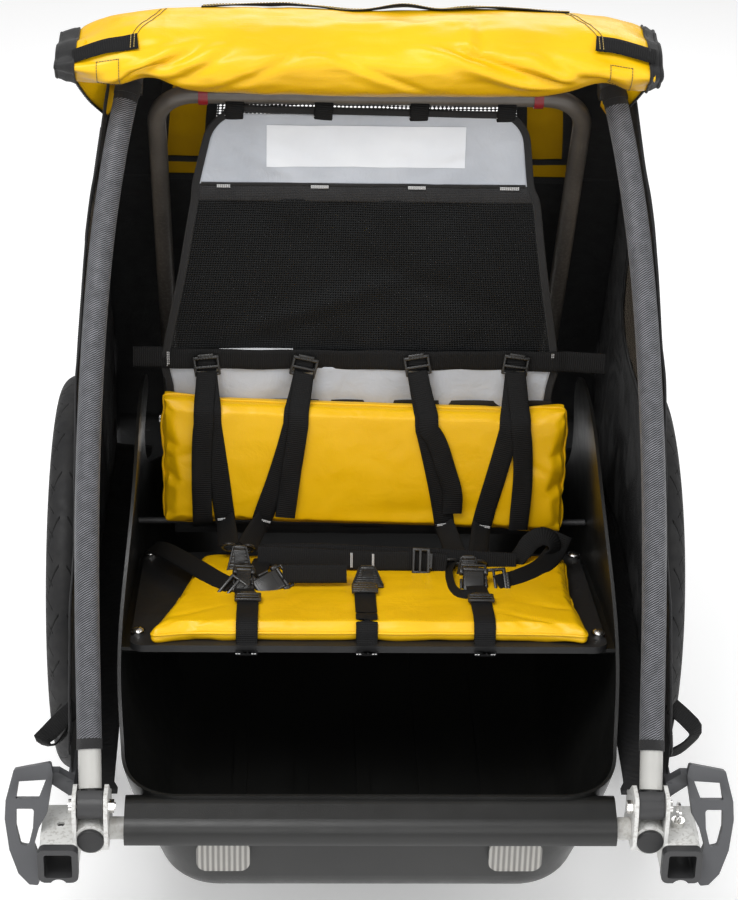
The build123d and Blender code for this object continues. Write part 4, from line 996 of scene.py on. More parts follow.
def roll_inner_layers():
    """Turns of sheet inside the roll, seen at its open ends."""
    shape = Shape()
    squeeze = [(0, 0.80), (200, 0.78), (236, 0.62), (280, 0.56), (345, 0.58)]
    drop = [(0, 0), (236, 0), (300, 5), (352, 12)]
    for k, (reach_y, reach_z) in enumerate(((24.0, 22.0), (15.5, 14.0), (8.0, 7.0))):
        def place(around, across):
            angle = 2 * math.pi * around * 0.97
            x = lerp(COVER_RIGHT + 5 + 3 * k, COVER_LEFT - 5 - 3 * k, across)
            out = abs(x)
            rise = 20.0 * bell(out - 258, 34.0) * 0.5 - piecewise(drop, out)
            scale = (1.0 + 0.05 * waver(x, angle * 60, k * 7.0, 0.02)) * piecewise(squeeze, out)
            return point(x, -27.0 + reach_y * scale * math.cos(angle),
                         943.0 + rise + reach_z * scale * math.sin(angle))
        shape.grid(lattice(60, 40, place), (0.016, 0.0025))
    shape.make("roll_inner_layers", "yellow", "uprights")


def cover_end_sleeves():
    """Black cloth over the last of each end, with a bound edge and a gathered end face."""
    cloth, binding = Shape(), Shape()
    for end_x, sign, far in ((COVER_LEFT, 1, 325.0), (COVER_RIGHT, -1, -358.0)):
        section_x = end_x - sign * 6.0

        def place(around, outward):
            turn = lerp(0.10, 0.70, around)
            x = lerp(end_x - sign * 5.0, far, outward)
            shrink = (-1.0 - 5.5 * outward ** 2 + 1.2 * waver(x * 3, turn * 400, 2.0, 0.05)
                      + (0.8 if outward == 0 else 0.0))
            return (cover_point(section_x, turn, 1.6 + shrink)[0]
                    + Vector(((x - section_x) * MILLI, 0, 0)))
        rows = lattice(48, 8, place)
        cloth.grid(rows, (0.003, 0.004))
        for column, radius in ((8, 0.0024), (0, 0.0016)):
            tube(binding, [row[column] for row in rows[::2]], radius, 8, 60)
        rim = [row[8] for row in rows]
        centre = sum(rim, Vector()) / 49
        face = [[centre.lerp(spot, 1.0 - k * 0.28) + Vector((-sign * 0.0035 * k, 0, 0))
                 for spot in rim] for k in range(4)]
        cloth.grid(face, (0.003, 0.006))
    cloth.make("cover_end_sleeves", "binding", "uprights", thick=0.0012)
    binding.make("cover_end_binding", "binding", "uprights")


# edges of the end flaps: distance in from the roll's end, y, z
FLAP_OUTER = [(3, -34, 925), (8, -8, 902), (18, 16, 876), (34, 40, 850)]
FLAP_INNER = [(16, -20, 962), (30, 6, 940), (44, 30, 906), (46, 46, 866)]


def cover_end_flaps():
    """Bound triangles of yellow sheet that run back and down at each end of the roll."""
    sheet, binding, thread_rows = Shape(), Shape(), Shape()
    for sign, end_x in ((1, COVER_LEFT), (-1, -COVER_RIGHT)):
        outer, inner = (points([(sign * (end_x - inset), y, z) for inset, y, z in table])
                        for table in (FLAP_OUTER, FLAP_INNER))
        starts, ends = spline(outer, 24), spline(inner, 24)
        rows = []
        for i in range(25):
            bulge = Vector((sign * 0.003, -0.002, 0)) * math.sin(math.pi * i / 24)
            rows.append([starts[i].lerp(ends[i], j / 12) + bulge * math.sin(math.pi * j / 12)
                         for j in range(13)])
        sheet.grid(rows, (0.003, 0.004))
        normal = Vector((sign * 0.8, -0.6, 0.1))
        ribbon(binding, [spot + Vector((sign * 0.001, -0.001, 0)) for spot in outer], normal,
               width=0.009, thick=0.0022)
        stitches(thread_rows, [spot + Vector((sign * 0.0022, -0.0022, 0)) for spot in outer],
                 normal, lift=0.0002)
    sheet.make("cover_end_flaps", "yellow", "uprights", thick=0.0012)
    binding.make("cover_flap_binding", "binding", "uprights")
    thread_rows.make("cover_flap_stitches", "dark_thread", "uprights")


def cover_tabs():
    """Black tabs over the roll at each upright, stitched rectangles and seams up the roof."""
    tabs, tab_thread, seams = Shape(), Shape(), Shape()

    def seam(x0, turn0, x1, turn1, steps, off, pitch, size):
        path, normals = cover_line(sign * x0, turn0, sign * x1, turn1, steps, off)
        stitches(seams, path, normals[steps // 2], pitch=pitch, size=size)

    # side, then distance from the middle plane and height of each tab's outer and inner end
    for sign, outer_x, outer_z, inner_x, inner_z in ((-1, 339.0, 957.0, 266.0, 961.0),
                                                     (1, 318.0, 965.0, 250.0, 968.0)):
        outer_turn = find_turn(sign * outer_x, -45, outer_z)
        inner_turn = find_turn(sign * inner_x, -36, inner_z)
        path, normals = cover_line(sign * outer_x, outer_turn, sign * inner_x, inner_turn, 12, 3.4)
        ribbon(tabs, path, normals, width=0.0235, thick=0.0018)
        for inset in (4.0, 8.0):
            x = inner_x + inset
            turn = lerp(outer_turn, inner_turn, (outer_x - x) / (outer_x - inner_x))
            spot, normal = cover_point(sign * x, turn, 4.6)
            reach = Vector((0, -normal.z, normal.y)) * 0.0105
            stitches(tab_thread, [spot - reach, spot + reach], normal, pitch=0.0034, size=0.0024)
        # stitched rectangle under the tab
        upper = find_turn(sign * (outer_x - 26), -55, 948)
        lower = find_turn(sign * (outer_x - 26), -44, 916)
        near, far = outer_x - 27, outer_x - 52
        for x in (near, far):
            seam(x, upper, x, lower, 6, 0.8, pitch=0.0030, size=0.0024)
        for turn in (upper, lower):
            seam(near, turn, far, turn, 5, 0.8, pitch=0.0030, size=0.0024)
        crest_turn = find_turn(0, 30, 984)
        for shift in (0.0, 6.0):
            seam(inner_x + 6 + shift, inner_turn + 0.01, inner_x - 30 + shift, crest_turn, 14,
                 0.5, pitch=0.0032, size=0.0026)
    tabs.make("cover_tabs", "web", "uprights")
    tab_thread.make("cover_tab_stitches", "yellow_thread", "uprights")
    seams.make("cover_seam_stitches", "dark_thread", "uprights", slot="webbing")


def roof_webbing():
    """Webbing along the crest of the roof, lifted off it in two places."""
    strap, thread_rows = Shape(), Shape()
    turn = find_turn(0, 44, 980)
    path, normals = [], []
    for i in range(41):
        x = lerp(226.0, -197.0, i / 40)
        lift = (2.6 * bell(x + 120, 45.0) + 3.4 * bell(x - 36, 30.0)
                + 0.9 * math.sin(x / 17.0) * bell(x - 60, 120.0))
        spot, normal = cover_point(x, turn, 1.2)
        path.append(spot + Vector((0, 0, lift * MILLI)))
        normals.append((normal + Vector((0, 0.10 * math.sin(x / 23.0), 0))).normalized())
    ribbon(strap, path, normals, width=0.0245, thick=0.0018, steps=120)
    for off in (-0.0098, 0.0098):
        row = [spot + Vector((0, normal.z, -normal.y)) * off + normal * 0.0012
               for spot, normal in zip(path, normals)]
        stitches(thread_rows, row, (0, 0, 1), pitch=0.0036, size=0.0026, radius=0.0005)
    strap.make("roof_webbing", "web", "uprights")
    thread_rows.make("roof_webbing_stitches", "yellow_thread", "uprights")


cover_sheet()
roll_inner_layers()
cover_end_sleeves()
cover_end_flaps()
cover_tabs()
roof_webbing()

# ------------------------------------------------------------------ seat back
# z, x of the right edge, x of the left edge
SEAT_BACK_EDGES = [
    (487.0, -236.0, 222.0), (515.0, -238.0, 225.0), (539.0, -243.0, 230.0),
    (566.0, -240.0, 227.0), (660.0, -221.0, 211.0), (753.0, -205.0, 197.0),
    (774.0, -203.0, 189.0), (830.0, -190.0, 182.0), (856.0, -180.0, 175.0),
]
BACK_CORNER = 26.0                         # radius of its upper corners
# creases of the grey upper panel and of the mesh; the columns are those of creases()
TOP_CREASES = [(2.6, -120, 800, 0.55, 9.0, -120, 70.0), (-2.0, 105, 806, -0.5, 8.0, 110, 60.0)]
MESH_CREASES = [(3.4, 0, 640, -0.35, 14.0, -70, 120.0), (-2.8, 0, 675, 0.4, 18.0, 90, 110.0)]
# stitched tacks under the binding of the upper panel: x, length
BAND_TACKS = [(-172, 16), (-58.5, 21), (56.5, 21), (166.5, 23)]
folding = []                               # pieces gathered here and attached to the base body


def edges_at(z):
    return [piecewise([(row[0], row[column]) for row in SEAT_BACK_EDGES], z)
            for column in (1, 2)]


def top_relief(x, z, across, up):
    edge = math.sin(math.pi * across) ** 0.4 * math.sin(math.pi * min(1, max(0, up))) ** 0.3
    height = 2.2 * waver(x, z, 1.0, 0.018) + 1.6 * waver(x, z * 1.7, 5.0, 0.035)
    return (height + creases(TOP_CREASES, x, z)) * edge + 1.5


def mesh_relief(x, z, across, up):
    height = 2.6 * waver(x * 0.8, z, 2.0, 0.013) + creases(MESH_CREASES, x, z)
    height += 2.2 * math.sin(x / 19.0) * bell(z - 745, 22.0)
    height += 1.8 * math.sin(x / 13.0 + 1.0) * bell(z - 572, 16.0)
    return height * (math.sin(math.pi * across) ** 0.35) + 1.0


def lower_relief(x, z, across, up):
    height = 3.2 * waver(x, z * 0.6, 8.0, 0.024)
    height += 2.6 * math.sin(x / 12.0 + 2.2 * waver(x, z, 4.0, 0.02)) * 0.7
    return height * (0.35 + 0.65 * (1 - up)) + 3.0


def band_relief(x, z, across, up):
    return 0.8 * waver(x, z, 3.0, 0.03) + 1.6 * math.sin(math.pi * up)


def back_panel(name, material, bottom, top, columns, rows, off, inset, relief, thick=0.0012,
               corner=0.0, replaces=()):
    """Panel between the seat back's edges; relief gives its height off the plane."""
    def place(up, across):
        z = lerp(bottom, top, up)
        right, left = edges_at(z)
        cut = inset
        if corner and top - z < corner:
            cut += corner - math.sqrt(max(0.0, corner ** 2 - (corner - (top - z)) ** 2))
        x = lerp(right + cut, left - cut, across)
        return back_point(x, z, off + relief(x, z, across, up))
    shape = Shape()
    shape.grid(lattice(rows, columns, place),
               lambda i, j: (j * (0.43 / columns), (bottom + (top - bottom) * i / rows) * MILLI))
    folding.append(shape.make(name, material, thick=thick, replaces=replaces))


def back_lower_cloth():
    """Cloth below the cross band and behind the cushion."""
    def place(up, across):
        z = lerp(310.0, 490.0, up)
        return back_point(lerp(-236.0, 222.0, across), z,
                          -2.0 + 1.2 * waver(across * 540.0, z, 1.0, 0.02))
    shape = Shape()
    shape.grid(lattice(30, 60, place), (0.0076, 0.006))
    folding.append(shape.make("seat_back_lower_cloth", "cloth", thick=0.0012))


def back_trim():
    """Black binding round the seat back, a pale piping under the mesh, and white tacks."""
    binding, piping, tacks = Shape(), Shape(), Shape()
    right_side, left_side = [], []
    for z in (487, 515, 539, 566, 610, 660, 710, 753, 774, 815, 836, 850, 858):
        right, left = edges_at(z)
        cut = 0.0
        if z > 836:
            above = max(0.0, BACK_CORNER - (862.0 - z))
            cut = BACK_CORNER - math.sqrt(max(0.0, BACK_CORNER ** 2 - above ** 2))
        right, left = right + cut - 2.0, left - cut + 2.0
        right_side.append(back_point(right, z, 1.2))
        left_side.append(back_point(left, z, 1.2))
    top = [back_point(lerp(right + 8, left - 8, i / 8), 863.0 - 5.0 * i / 8 + 3, 1.2)
           for i in range(9)]
    ribbon(binding, right_side + top + left_side[::-1], BACK_NORMAL,
           width=0.0095, thick=0.0030, steps=360)
    right, left = edges_at(774)
    band = [back_point(lerp(right + 4, left - 4, i / 10), 774.5, 2.6 + 0.6 * math.sin(i * 1.7))
            for i in range(11)]
    ribbon(binding, band, BACK_NORMAL, width=0.004, thick=0.002, steps=110)
    for x, length in BAND_TACKS:
        for rise in (-1.3, 0.0, 1.3):
            z = 772.5 + rise
            row = [back_point(x - length / 2, z, 4.6), back_point(x, z, 4.9),
                   back_point(x + length / 2, z, 4.6)]
            stitches(tacks, row, BACK_NORMAL, pitch=0.0021, size=0.0019, radius=0.0006)
    line = [back_point(x, 562.6 + 0.008 * (x + 133), 3.2 + 0.8 * math.sin(x / 17.0))
            for x in range(-179, -86, 10)]
    ribbon(piping, line, BACK_NORMAL, width=0.0042, thick=0.0024)
    for x, z in ((-241, 551.5), (228.5, 552.5)):
        for shift in (-1.0, 1.0):
            row = [back_point(x + shift, z - 10, 6.0), back_point(x + shift, z + 10, 6.0)]
            stitches(tacks, row, BACK_NORMAL, pitch=0.0026, size=0.0020, radius=0.0006)
    folding.append(binding.make("seat_back_binding", "binding"))
    folding.append(piping.make("seat_back_piping", "label"))
    folding.append(tacks.make("seat_back_tacks", "white_thread"))


def plain_patch():
    """Pale patch that follows the upper panel's creases."""
    def place(up, across):
        z, x = lerp(796.5, 847.0, up), lerp(-122.0, 112.0, across)
        right, left = edges_at(z)
        relief = top_relief(x, z, (x - right) / (left - right), (z - 774) / 86.0)
        return back_point(x, z, 0.5 + relief + 0.8)
    shape = Shape()
    shape.grid(lattice(20, 60, place), (0.004, 0.0025))
    folding.append(shape.make("plain_patch", "label"))


def cross_band():
    """Webbing across the seat back, with ends that run past its edges."""
    shape = Shape()
    path, normals = [], []
    for i in range(49):
        x = lerp(-284.0, 294.0, i / 48)
        z = 551.3 + 1.3 * waver(x, 3.0, 1.0, 0.02)
        if x < -243:
            z = lerp(551.5, 552.0, (-243 - x) / 41.0)
        if x > 230:
            z = lerp(551.5, 547.0, (x - 230) / 64.0)
        off = 5.2 + 0.9 * math.sin(x / 31.0) - (3.0 if abs(x) > 236 else 0.0)
        path.append(back_point(x, z, off))
        tilt = 0.10 * math.sin(x / 40.0) + (0.25 if abs(x) > 245 else 0.0)
        normals.append((BACK_NORMAL + Vector((0, 0, tilt))).normalized())
    ribbon(shape, path, normals, width=0.0255, thick=0.0019, steps=170)
    folding.append(shape.make("harness_cross_band", "web", replaces=["harness_band"]))


def hoop_loops():
    """Short webbing loops from the top of the seat back to the hoop."""
    loops, tacks = Shape(), Shape()
    for x in (-160.0, -56.0, 56.0, 158.0):
        path = points([(x, 23, 853), (x, 20.0, 862), (x + 1, 22.0, 872), (x + 1, 33, 880)])
        ribbon(loops, path, Vector((0, -0.95, 0.3)), width=0.022, thick=0.0018)
        for shift in (-8.0, 8.0):
            row = points([(x + shift - 2.6, 20.6, 858.5), (x + shift + 2.6, 20.6, 860.5)])
            stitches(tacks, row, (0, -1, 0.1), pitch=0.0022, size=0.002, radius=0.0006)
    folding.append(loops.make("hoop_loops", "web"))
    folding.append(tacks.make("hoop_loop_tacks", "white_thread"))


back_panel("seat_back_top_panel", "grey", 774.0, 860.0, columns=110, rows=40, off=0.5, inset=2.0,
           relief=top_relief, corner=BACK_CORNER, replaces=["seat_back"])
back_panel("seat_back_lower_panel", "grey", 486.0, 541.0, columns=130, rows=26, off=1.0,
           inset=3.0, relief=lower_relief)
back_panel("seat_back_mesh", "mesh", 562.0, 756.0, columns=120, rows=90, off=0.0, inset=1.5,
           relief=mesh_relief, thick=None)
back_panel("seat_back_ribbed_band", "ribmesh", 753.0, 775.0, columns=110, rows=10, off=1.6,
           inset=1.0, relief=band_relief)
back_lower_cloth()
back_trim()
plain_patch()
cross_band()
hoop_loops()

# ------------------------------------------------------------------ cushions
CLOTH_FRAMES = 20
FLAT_GIVE = 0.0004                         # how far the face on the board may sink, in metres
# columns as in creases()
SEAT_CREASES = [(-2.8, 190, -300, 0.55, 5.0, 196, 34.0), (-1.7, 214, -262, 0.4, 5.0, 214, 26.0),
                (-1.6, -214, -285, -0.6, 6.0, -214, 30.0)]
PAD_CREASES = [(-2.2, 195, 440, 0.5, 6.0, 200, 36.0), (-1.6, -205, 440, -0.35, 5.0, -210, 26.0)]
STRAP_PRESS = [(-345, 1), (-270, 0.8), (-230, 0)]    # y, strength of the straps' dents


def inflate(pad):
    """Blow the pad up a little as cloth under pressure."""
    cloth = pad.modifiers.new("cloth", "CLOTH")
    settings = cloth.settings
    settings.quality = 5
    settings.mass = 0.3
    settings.tension_stiffness = 12
    settings.compression_stiffness = 12
    settings.shear_stiffness = 4
    settings.bending_stiffness = 0.25
    settings.use_pressure = True
    settings.uniform_pressure_force = 4.0
    settings.shrink_min = -0.02
    settings.effector_weights.gravity = 0.0
    cloth.point_cache.frame_start = 1
    cloth.point_cache.frame_end = CLOTH_FRAMES
    for i in range(1, CLOTH_FRAMES + 1):
        bpy.context.scene.frame_set(i)
    apply_modifiers(pad)
    bpy.context.scene.frame_set(1)


def pillow(node, name, limit, front, relief):
    """Inflated cover over a CAD pad; limit caps its swelling, front looks out of its face."""
    source = frame["nodes"][node]
    mesh = source.data.copy()
    mesh.transform(source.matrix_world)
    mesh.materials.clear()
    pad = bpy.data.objects.new(name, mesh)
    bpy.context.scene.collection.objects.link(pad)
    remesh = pad.modifiers.new("remesh", "REMESH")
    remesh.mode = "VOXEL"
    remesh.voxel_size = 0.0040
    remesh.use_smooth_shade = True
    apply_modifiers(pad)
    pad.data.materials.clear()
    pad.data.materials.append(MATERIALS["yellow"])
    rest = [(vert.co.copy(), vert.normal.copy()) for vert in pad.data.vertices]
    inflate(pad)
    front = Vector(front).normalized()
    for vert, (start, normal) in zip(pad.data.vertices, rest):
        move = vert.co - start
        if move.length > limit:
            move = move * (limit / move.length)
        sunk = -move.dot(front)
        if normal.dot(front) < -0.5 and sunk > FLAT_GIVE:    # the face on the board stays flat
            move += front * (sunk - FLAT_GIVE)
        vert.co = start + move
    pad.data.update()
    normals = [vert.normal.copy() for vert in pad.data.vertices]
    for vert, normal in zip(pad.data.vertices, normals):
        vert.co = vert.co + normal * relief(vert.co, normal)
    pad.data.update()
    smooth_surface = pad.modifiers.new("subdivide", "SUBSURF")
    smooth_surface.levels = 1
    smooth_surface.render_levels = 1
    apply_modifiers(pad)
    pad.data.polygons.foreach_set("use_smooth", [True] * len(pad.data.polygons))
    return pad


def seat_relief(spot, normal):
    x, y = spot.x / MILLI, (spot.y - AXLE_Y) / MILLI
    front = bell(y + 326, 22.0)
    height = 0.9 * waver(x, y, 1.0, 0.020) + 0.5 * waver(x, y, 5.0, 0.045)
    height += (1.5 * front * math.sin(x / 15.0 + 2.4 * waver(x, y, 2.0, 0.012))
               * max(0.0, waver(x, 4.0, 7.0, 0.010) + 0.35))
    height += creases(SEAT_CREASES, x, y)
    for strap_x in (-138.0, -4.5, 132.0):      # pressed down where the harness straps lie
        height -= 1.6 * bell(x - strap_x, 15.0) * piecewise(STRAP_PRESS, y)
    return height * MILLI * (1.0 if normal.z > 0 or front > 0.2 else 0.2)


def pad_relief(spot, normal):
    x, z = spot.x / MILLI, spot.z / MILLI
    height = waver(x, z, 1.0, 0.018) + 0.5 * waver(x, z, 6.0, 0.05)
    for sign in (-1, 1):
        height += (0.8 * bell(x - sign * 240, 30.0)
                   * math.sin(z / 8.5 + sign * 1.3 + 0.03 * x))
    height += creases(PAD_CREASES, x, z)
    height -= 1.6 * bell(z - 366 - 0.05 * x, 10.0) * (0.5 + 0.5 * math.sin(x / 45.0))
    return height * MILLI * (1.0 if normal.y < 0.3 else 0.0)


seat_pad = pillow("seat_cushion", "seat_cushion_cover", 0.0050, (0, SEAT_SLOPE, 1), seat_relief)
back_pad = pillow("back_cushion", "back_cushion_cover", 0.0060, (0, -1, 0.086), pad_relief)
for pad_vert in seat_pad.data.vertices:
    # the right half narrows toward the back, and both front corners are drawn out
    x, y = pad_vert.co.x / MILLI, (pad_vert.co.y - AXLE_Y) / MILLI
    rearward = max(0.0, min(1.0, (y + 328) / 244.0))
    pad_vert.co.x *= lerp(1.0, 0.80 if x < 0 else 1.0, rearward)
    corner_pull = bell(abs(x) - 246, 14.0) * bell(y + 328, 16.0)
    pad_vert.co.x += math.copysign(0.0045, x) * corner_pull
    pad_vert.co.y -= 0.0045 * corner_pull
seat_pad.data.update()
for pad_vert in back_pad.data.vertices:
    pad_vert.co.z += -BACK_HANG * pad_vert.co.x
back_pad.data.update()
for cushion, cushion_node in ((seat_pad, "seat_cushion"), (back_pad, "back_cushion")):
    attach(cushion, "base")
    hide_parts(cushion_node)


def search_tree(*targets):
    verts, faces = [], []
    for target in targets:
        base = len(verts)
        verts.extend([target.matrix_world @ vert.co for vert in target.data.vertices])
        faces.extend([tuple(base + i for i in face.vertices) for face in target.data.polygons])
    return BVHTree.FromPolygons(verts, faces)


bpy.context.view_layer.update()
SEAT_TREE = search_tree(seat_pad, frame["nodes"]["seat_board"])
BACK_TREE = search_tree(back_pad)


def on_seat(x, y, lift):
    """Point above the seat, carried by the highest spot under a strap's width."""
    z = seat_z(y) * MILLI
    for shift_x, shift_y in ((0, 0), (-9.0, 0), (9.0, 0), (0, -4.5), (0, 4.5)):
        spot = SEAT_TREE.ray_cast(point(x + shift_x, y + shift_y, 520.0), Vector((0, 0, -1)))[0]
        if spot is not None:
            z = max(z, spot.z + shift_y * SEAT_SLOPE * MILLI)
    return Vector((x * MILLI, y * MILLI + AXLE_Y, z)) + SEAT_NORMAL * lift * MILLI


def on_back(x, z, lift):
    """Point in front of the back cushion, or of the seat back where no cushion is met."""
    found = []
    for shift_x, shift_z in ((0, 0), (-10.0, 0), (10.0, 0), (0, -4), (0, 4)):
        spot = BACK_TREE.ray_cast(point(x + shift_x, -400.0, z + shift_z), Vector((0, 1, 0)))[0]
        if spot is not None:
            found.append(spot.y)
    if not found:
        return back_point(x, z, 10.0)
    return Vector((x * MILLI, min(found), z * MILLI)) + Vector((0, -1, 0.05)) * lift * MILLI


def wrap(tree, centre, angles, lift, wide=10.0):
    """(point, direction) pairs round a cushion's edge, cast towards a centre inside it."""
    out = []
    for angle in angles:
        ray = Vector((0, -math.cos(math.radians(angle)), math.sin(math.radians(angle))))
        far = 0.0
        for shift in (-wide, 0.0, wide):
            start = centre + Vector((shift * MILLI, 0, 0))
            spot = tree.ray_cast(start + ray * 0.12, -ray)[0]
            if spot is not None:
                far = max(far, (spot - start).length)
        out.append((centre + ray * (far + lift * MILLI), ray))
    return out


def cushion_piping(name, tree, reach, centre_at, slope_axis):
    """Piping round a cushion, found by casting in towards its long axis."""
    path = []
    for i in range(121):
        angle = 2 * math.pi * i / 120
        ray = (Vector((math.cos(angle), 0, 0)) + slope_axis * math.sin(angle)).normalized()
        centre = centre_at(max(-reach, min(reach, 330.0 * math.cos(angle))))
        spot = tree.ray_cast(centre + ray * 0.40, -ray)[0]
        if spot is not None:
            path.append(spot + ray * 0.0004)
    shape = Shape()
    tube(shape, path, 0.0017, 8, int(path_length(path) / 0.004))
    shape.make(name, "yellow", "base")


def pad_centre(x):
    """Point inside the back cushion, 90 mm up its face line and 24 mm out of it."""
    y = -8.0 + CUSHION_UP.y * 90.0 + CUSHION_OUT.y * 24.0
    z = 330.0 + CUSHION_UP.z * 90.0 + CUSHION_OUT.z * 24.0
    return point(x, y, z) + Vector((0, 0, -BACK_HANG * x * MILLI))


cushion_piping("seat_cushion_piping", search_tree(seat_pad), 150.0,
               lambda x: seat_point(x, -206.0, 15.0), Vector((0, 1, -SEAT_SLOPE)))
cushion_piping("back_cushion_piping", BACK_TREE, 160.0, pad_centre, CUSHION_UP)


# ------------------------------------------------------------------ buckles and adjusters
# Each is placed by a point, a direction along the strap and a normal; sizes in millimetres.
def strap_frame(origin, along, normal):
    return frame_at(origin, Vector(normal).cross(Vector(along)), normal)


def ladder(shape, origin, along, normal, width, length):
    """Ladder-lock adjuster: side rails, three bars, the tail bar raised and ribbed."""
    half = length / 2
    rows = [(sign * (width / 2 - 1.8), 0, 0.6, 3.6, length, 4.6, 1.3) for sign in (-1, 1)]
    rows += [
        (0, half - 1.8, 0.8, width - 2, 3.8, 4.4, 1.4),
        (0, 1.2, 1.9, width - 3, 3.4, 3.0, 1.0),
        (0, -half + 2.2, 1.0, width - 2, 4.6, 4.6, 1.6),
        (0, -half - 1.0, 2.0, width * 0.62, 4.0, 3.0, 1.3),
    ]
    rows += [((k - 2) * 3.6, -half + 0.6, 3.4, 1.2, 4.0, 0.9, 0.3) for k in range(5)]
    blocks(shape, strap_frame(origin, along, normal), rows)


def buckle_socket(shape, origin, along, normal, width, length):
    """Socket half of a buckle, with a latch in each side window and a strap bar."""
    side, half = width / 2, length / 2
    rows = [(0, 2.0, 2.6, width - 9, length - 6, 8.6, 2.6)]
    for sign in (-1, 1):
        rows += [
            (sign * (side - 3.0), half - 4.5, 2.6, 6.0, 9.0, 8.2, 2.4),
            (sign * (side - 3.0), -half + 5.5, 2.6, 6.0, 9.0, 8.2, 2.4),
            (sign * (side - 2.6), 0.5, 2.6, 3.2, 14.0, 6.0, 1.4),
        ]
    rows += [
        (0, -half + 3.0, 2.4, width - 8, 5.0, 7.4, 2.2),
        (0, -half - 3.6, 1.2, width - 4, 3.0, 3.6, 1.3),
        (0, 4.0, 6.9, width - 17, length - 18, 1.0, 0.45),
    ]
    rows += [(sign * (side - 3.4), -half + 0.5, 1.2, 3.2, 8.0, 3.6, 1.2) for sign in (-1, 1)]
    blocks(shape, strap_frame(origin, along, normal), rows)


def tongue(shape, origin, along, normal, wide, narrow, length):
    """Tapered harness tongue with a raised rim along each side."""
    place = strap_frame(origin, along, normal)
    half = length / 2
    blocks(shape, place, [(0, -half + length * (k / 8), 1.6, lerp(wide, narrow, (k / 8) ** 0.8),
                           length / 7, 3.4, 1.1) for k in range(9)])
    for sign in (-1, 1):
        start = Vector((sign * (wide / 2 - 1.2) * MILLI, -half * MILLI, 0.0036))
        end = Vector((sign * (narrow / 2 - 1.0) * MILLI, half * MILLI, 0.0036))
        path = [place @ start, place @ start.lerp(end, 0.5), place @ end]
        tube(shape, path, 0.0014, 8, 14)
    blocks(shape, place, [
        (0, -half - 1.0, 3.0, wide * 0.92, 4.0, 4.6, 1.6),
        (0, length * 0.12, 3.4, narrow * 0.7, length * 0.45, 1.4, 0.6),
        (0, half + 1.0, 1.8, narrow * 0.8, 5.0, 4.4, 1.5),
    ])


def ring(shape, centre, first_axis, second_axis, radius):
    """Elliptic ring of wire; its two half axes and the wire's radius are in metres."""
    angles = [2 * math.pi * k / 22 for k in range(23)]
    path = [centre + Vector(first_axis) * math.cos(angle) + Vector(second_axis) * math.sin(angle)
            for angle in angles]
    tube(shape, path, radius, 8, 44)


def tack(shape, centre, along, across, normal, rows, gap, lift):
    """A small block of stitches: rows run along one way and are spread across the other."""
    for k in range(rows):
        middle = centre + across.normalized() * (k - (rows - 1) / 2) * gap * MILLI
        stitches(shape, [middle - along / 2, middle, middle + along / 2], normal, pitch=0.0022,
                 size=0.0019, radius=0.0006, lift=lift)


# ------------------------------------------------------------------ harness straps
straps, lap_belts, buckles, tacks = Shape(), Shape(), Shape(), Shape()
adjusters, adjuster_webbing = Shape(), Shape()
BELT_NORMAL = Vector((0, -0.87, 0.49))     # the way the standing belts face


def dense(path):
    """Points about 6 mm apart along a smooth flat path."""
    stations = [Vector((across, along, 0)) for across, along in path]
    curve = spline(stations, max(2, int(path_length(stations) / 6.0)))
    return [(spot.x, spot.y) for spot in curve]


def smooth(path):
    for _ in range(2):
        path = [path[0]] + [(path[i - 1] + path[i] * 2 + path[i + 1]) / 4
                            for i in range(1, len(path) - 1)] + [path[-1]]
    return path


def over_back(path, lift):
    return smooth([on_back(x, z, lift) for x, z in dense(path)])


def over_seat(path, lifts):
    """Path over the seat; lifts is a height, or a table of (share of the way, height)."""
    flat = dense(path)
    last = max(1, len(flat) - 1)
    table = lifts if isinstance(lifts, list) else [(0, lifts), (1, lifts)]
    return smooth([on_seat(x, y, piecewise(table, i / last)) for i, (x, y) in enumerate(flat)])


# adjuster (x, z), main strap (x, z) over the back cushion, its free end, loose tail (x, z)
SHOULDER_STRAPS = [
    ((-194.0, 544.5), [(-188, 484), (-184, 455), (-178, 410), (-173.5, 372), (-171, 352)],
     (-165.7, -110.0, 355.0), [(-197, 484), (-199, 465), (-200, 420), (-199.5, 370), (-198, 330)]),
    ((-75.5, 544.0), [(-88, 484), (-96, 452), (-108, 410), (-121, 372), (-127, 350)],
     (-143.5, -110.0, 352.0), [(-82, 484), (-85, 460), (-91, 415), (-97.5, 362)]),
    ((63.0, 547.0), [(73, 480), (80, 452), (90, 408), (98, 366), (101, 346)],
     (114.5, -114.0, 338.0), [(77, 480), (88, 462), (100, 425), (109, 395), (109, 368)]),
    ((183.0, 548.0), [(176, 478), (170, 450), (160, 408), (150, 366), (146, 344)],
     (137.9, -114.0, 337.0), [(190, 478), (193, 456), (195, 410), (192, 346)]),
]


def over_pad_top(adjuster, path, lift, start_off):
    """Points and normals from an adjuster to the back cushion and over its top edge."""
    from_x, from_z = adjuster
    to_x = path[0][0]
    top_z = 505.0 - BACK_HANG * to_x
    centre = point(to_x, 0, top_z - 13.0)
    centre.y = on_back(to_x, top_z - 16.0, 0.0).y + 0.013
    edge = wrap(BACK_TREE, centre, (58, 38, 18), lift)
    for i, (spot, ray) in enumerate(edge):
        spot.x = lerp(from_x, to_x, 0.80 + 0.07 * i) * MILLI
    start = back_point(from_x, from_z - 8, start_off)
    middle = start.lerp(edge[0][0], 0.5) + Vector((0, -0.0015, -0.001))
    normals = [BACK_NORMAL, (BACK_NORMAL + Vector((0, 0, 0.15))).normalized()]
    normals += [(ray * 0.6 + BACK_NORMAL * 0.6).normalized() for spot, ray in edge]
    return [start, middle] + [spot for spot, ray in edge], normals


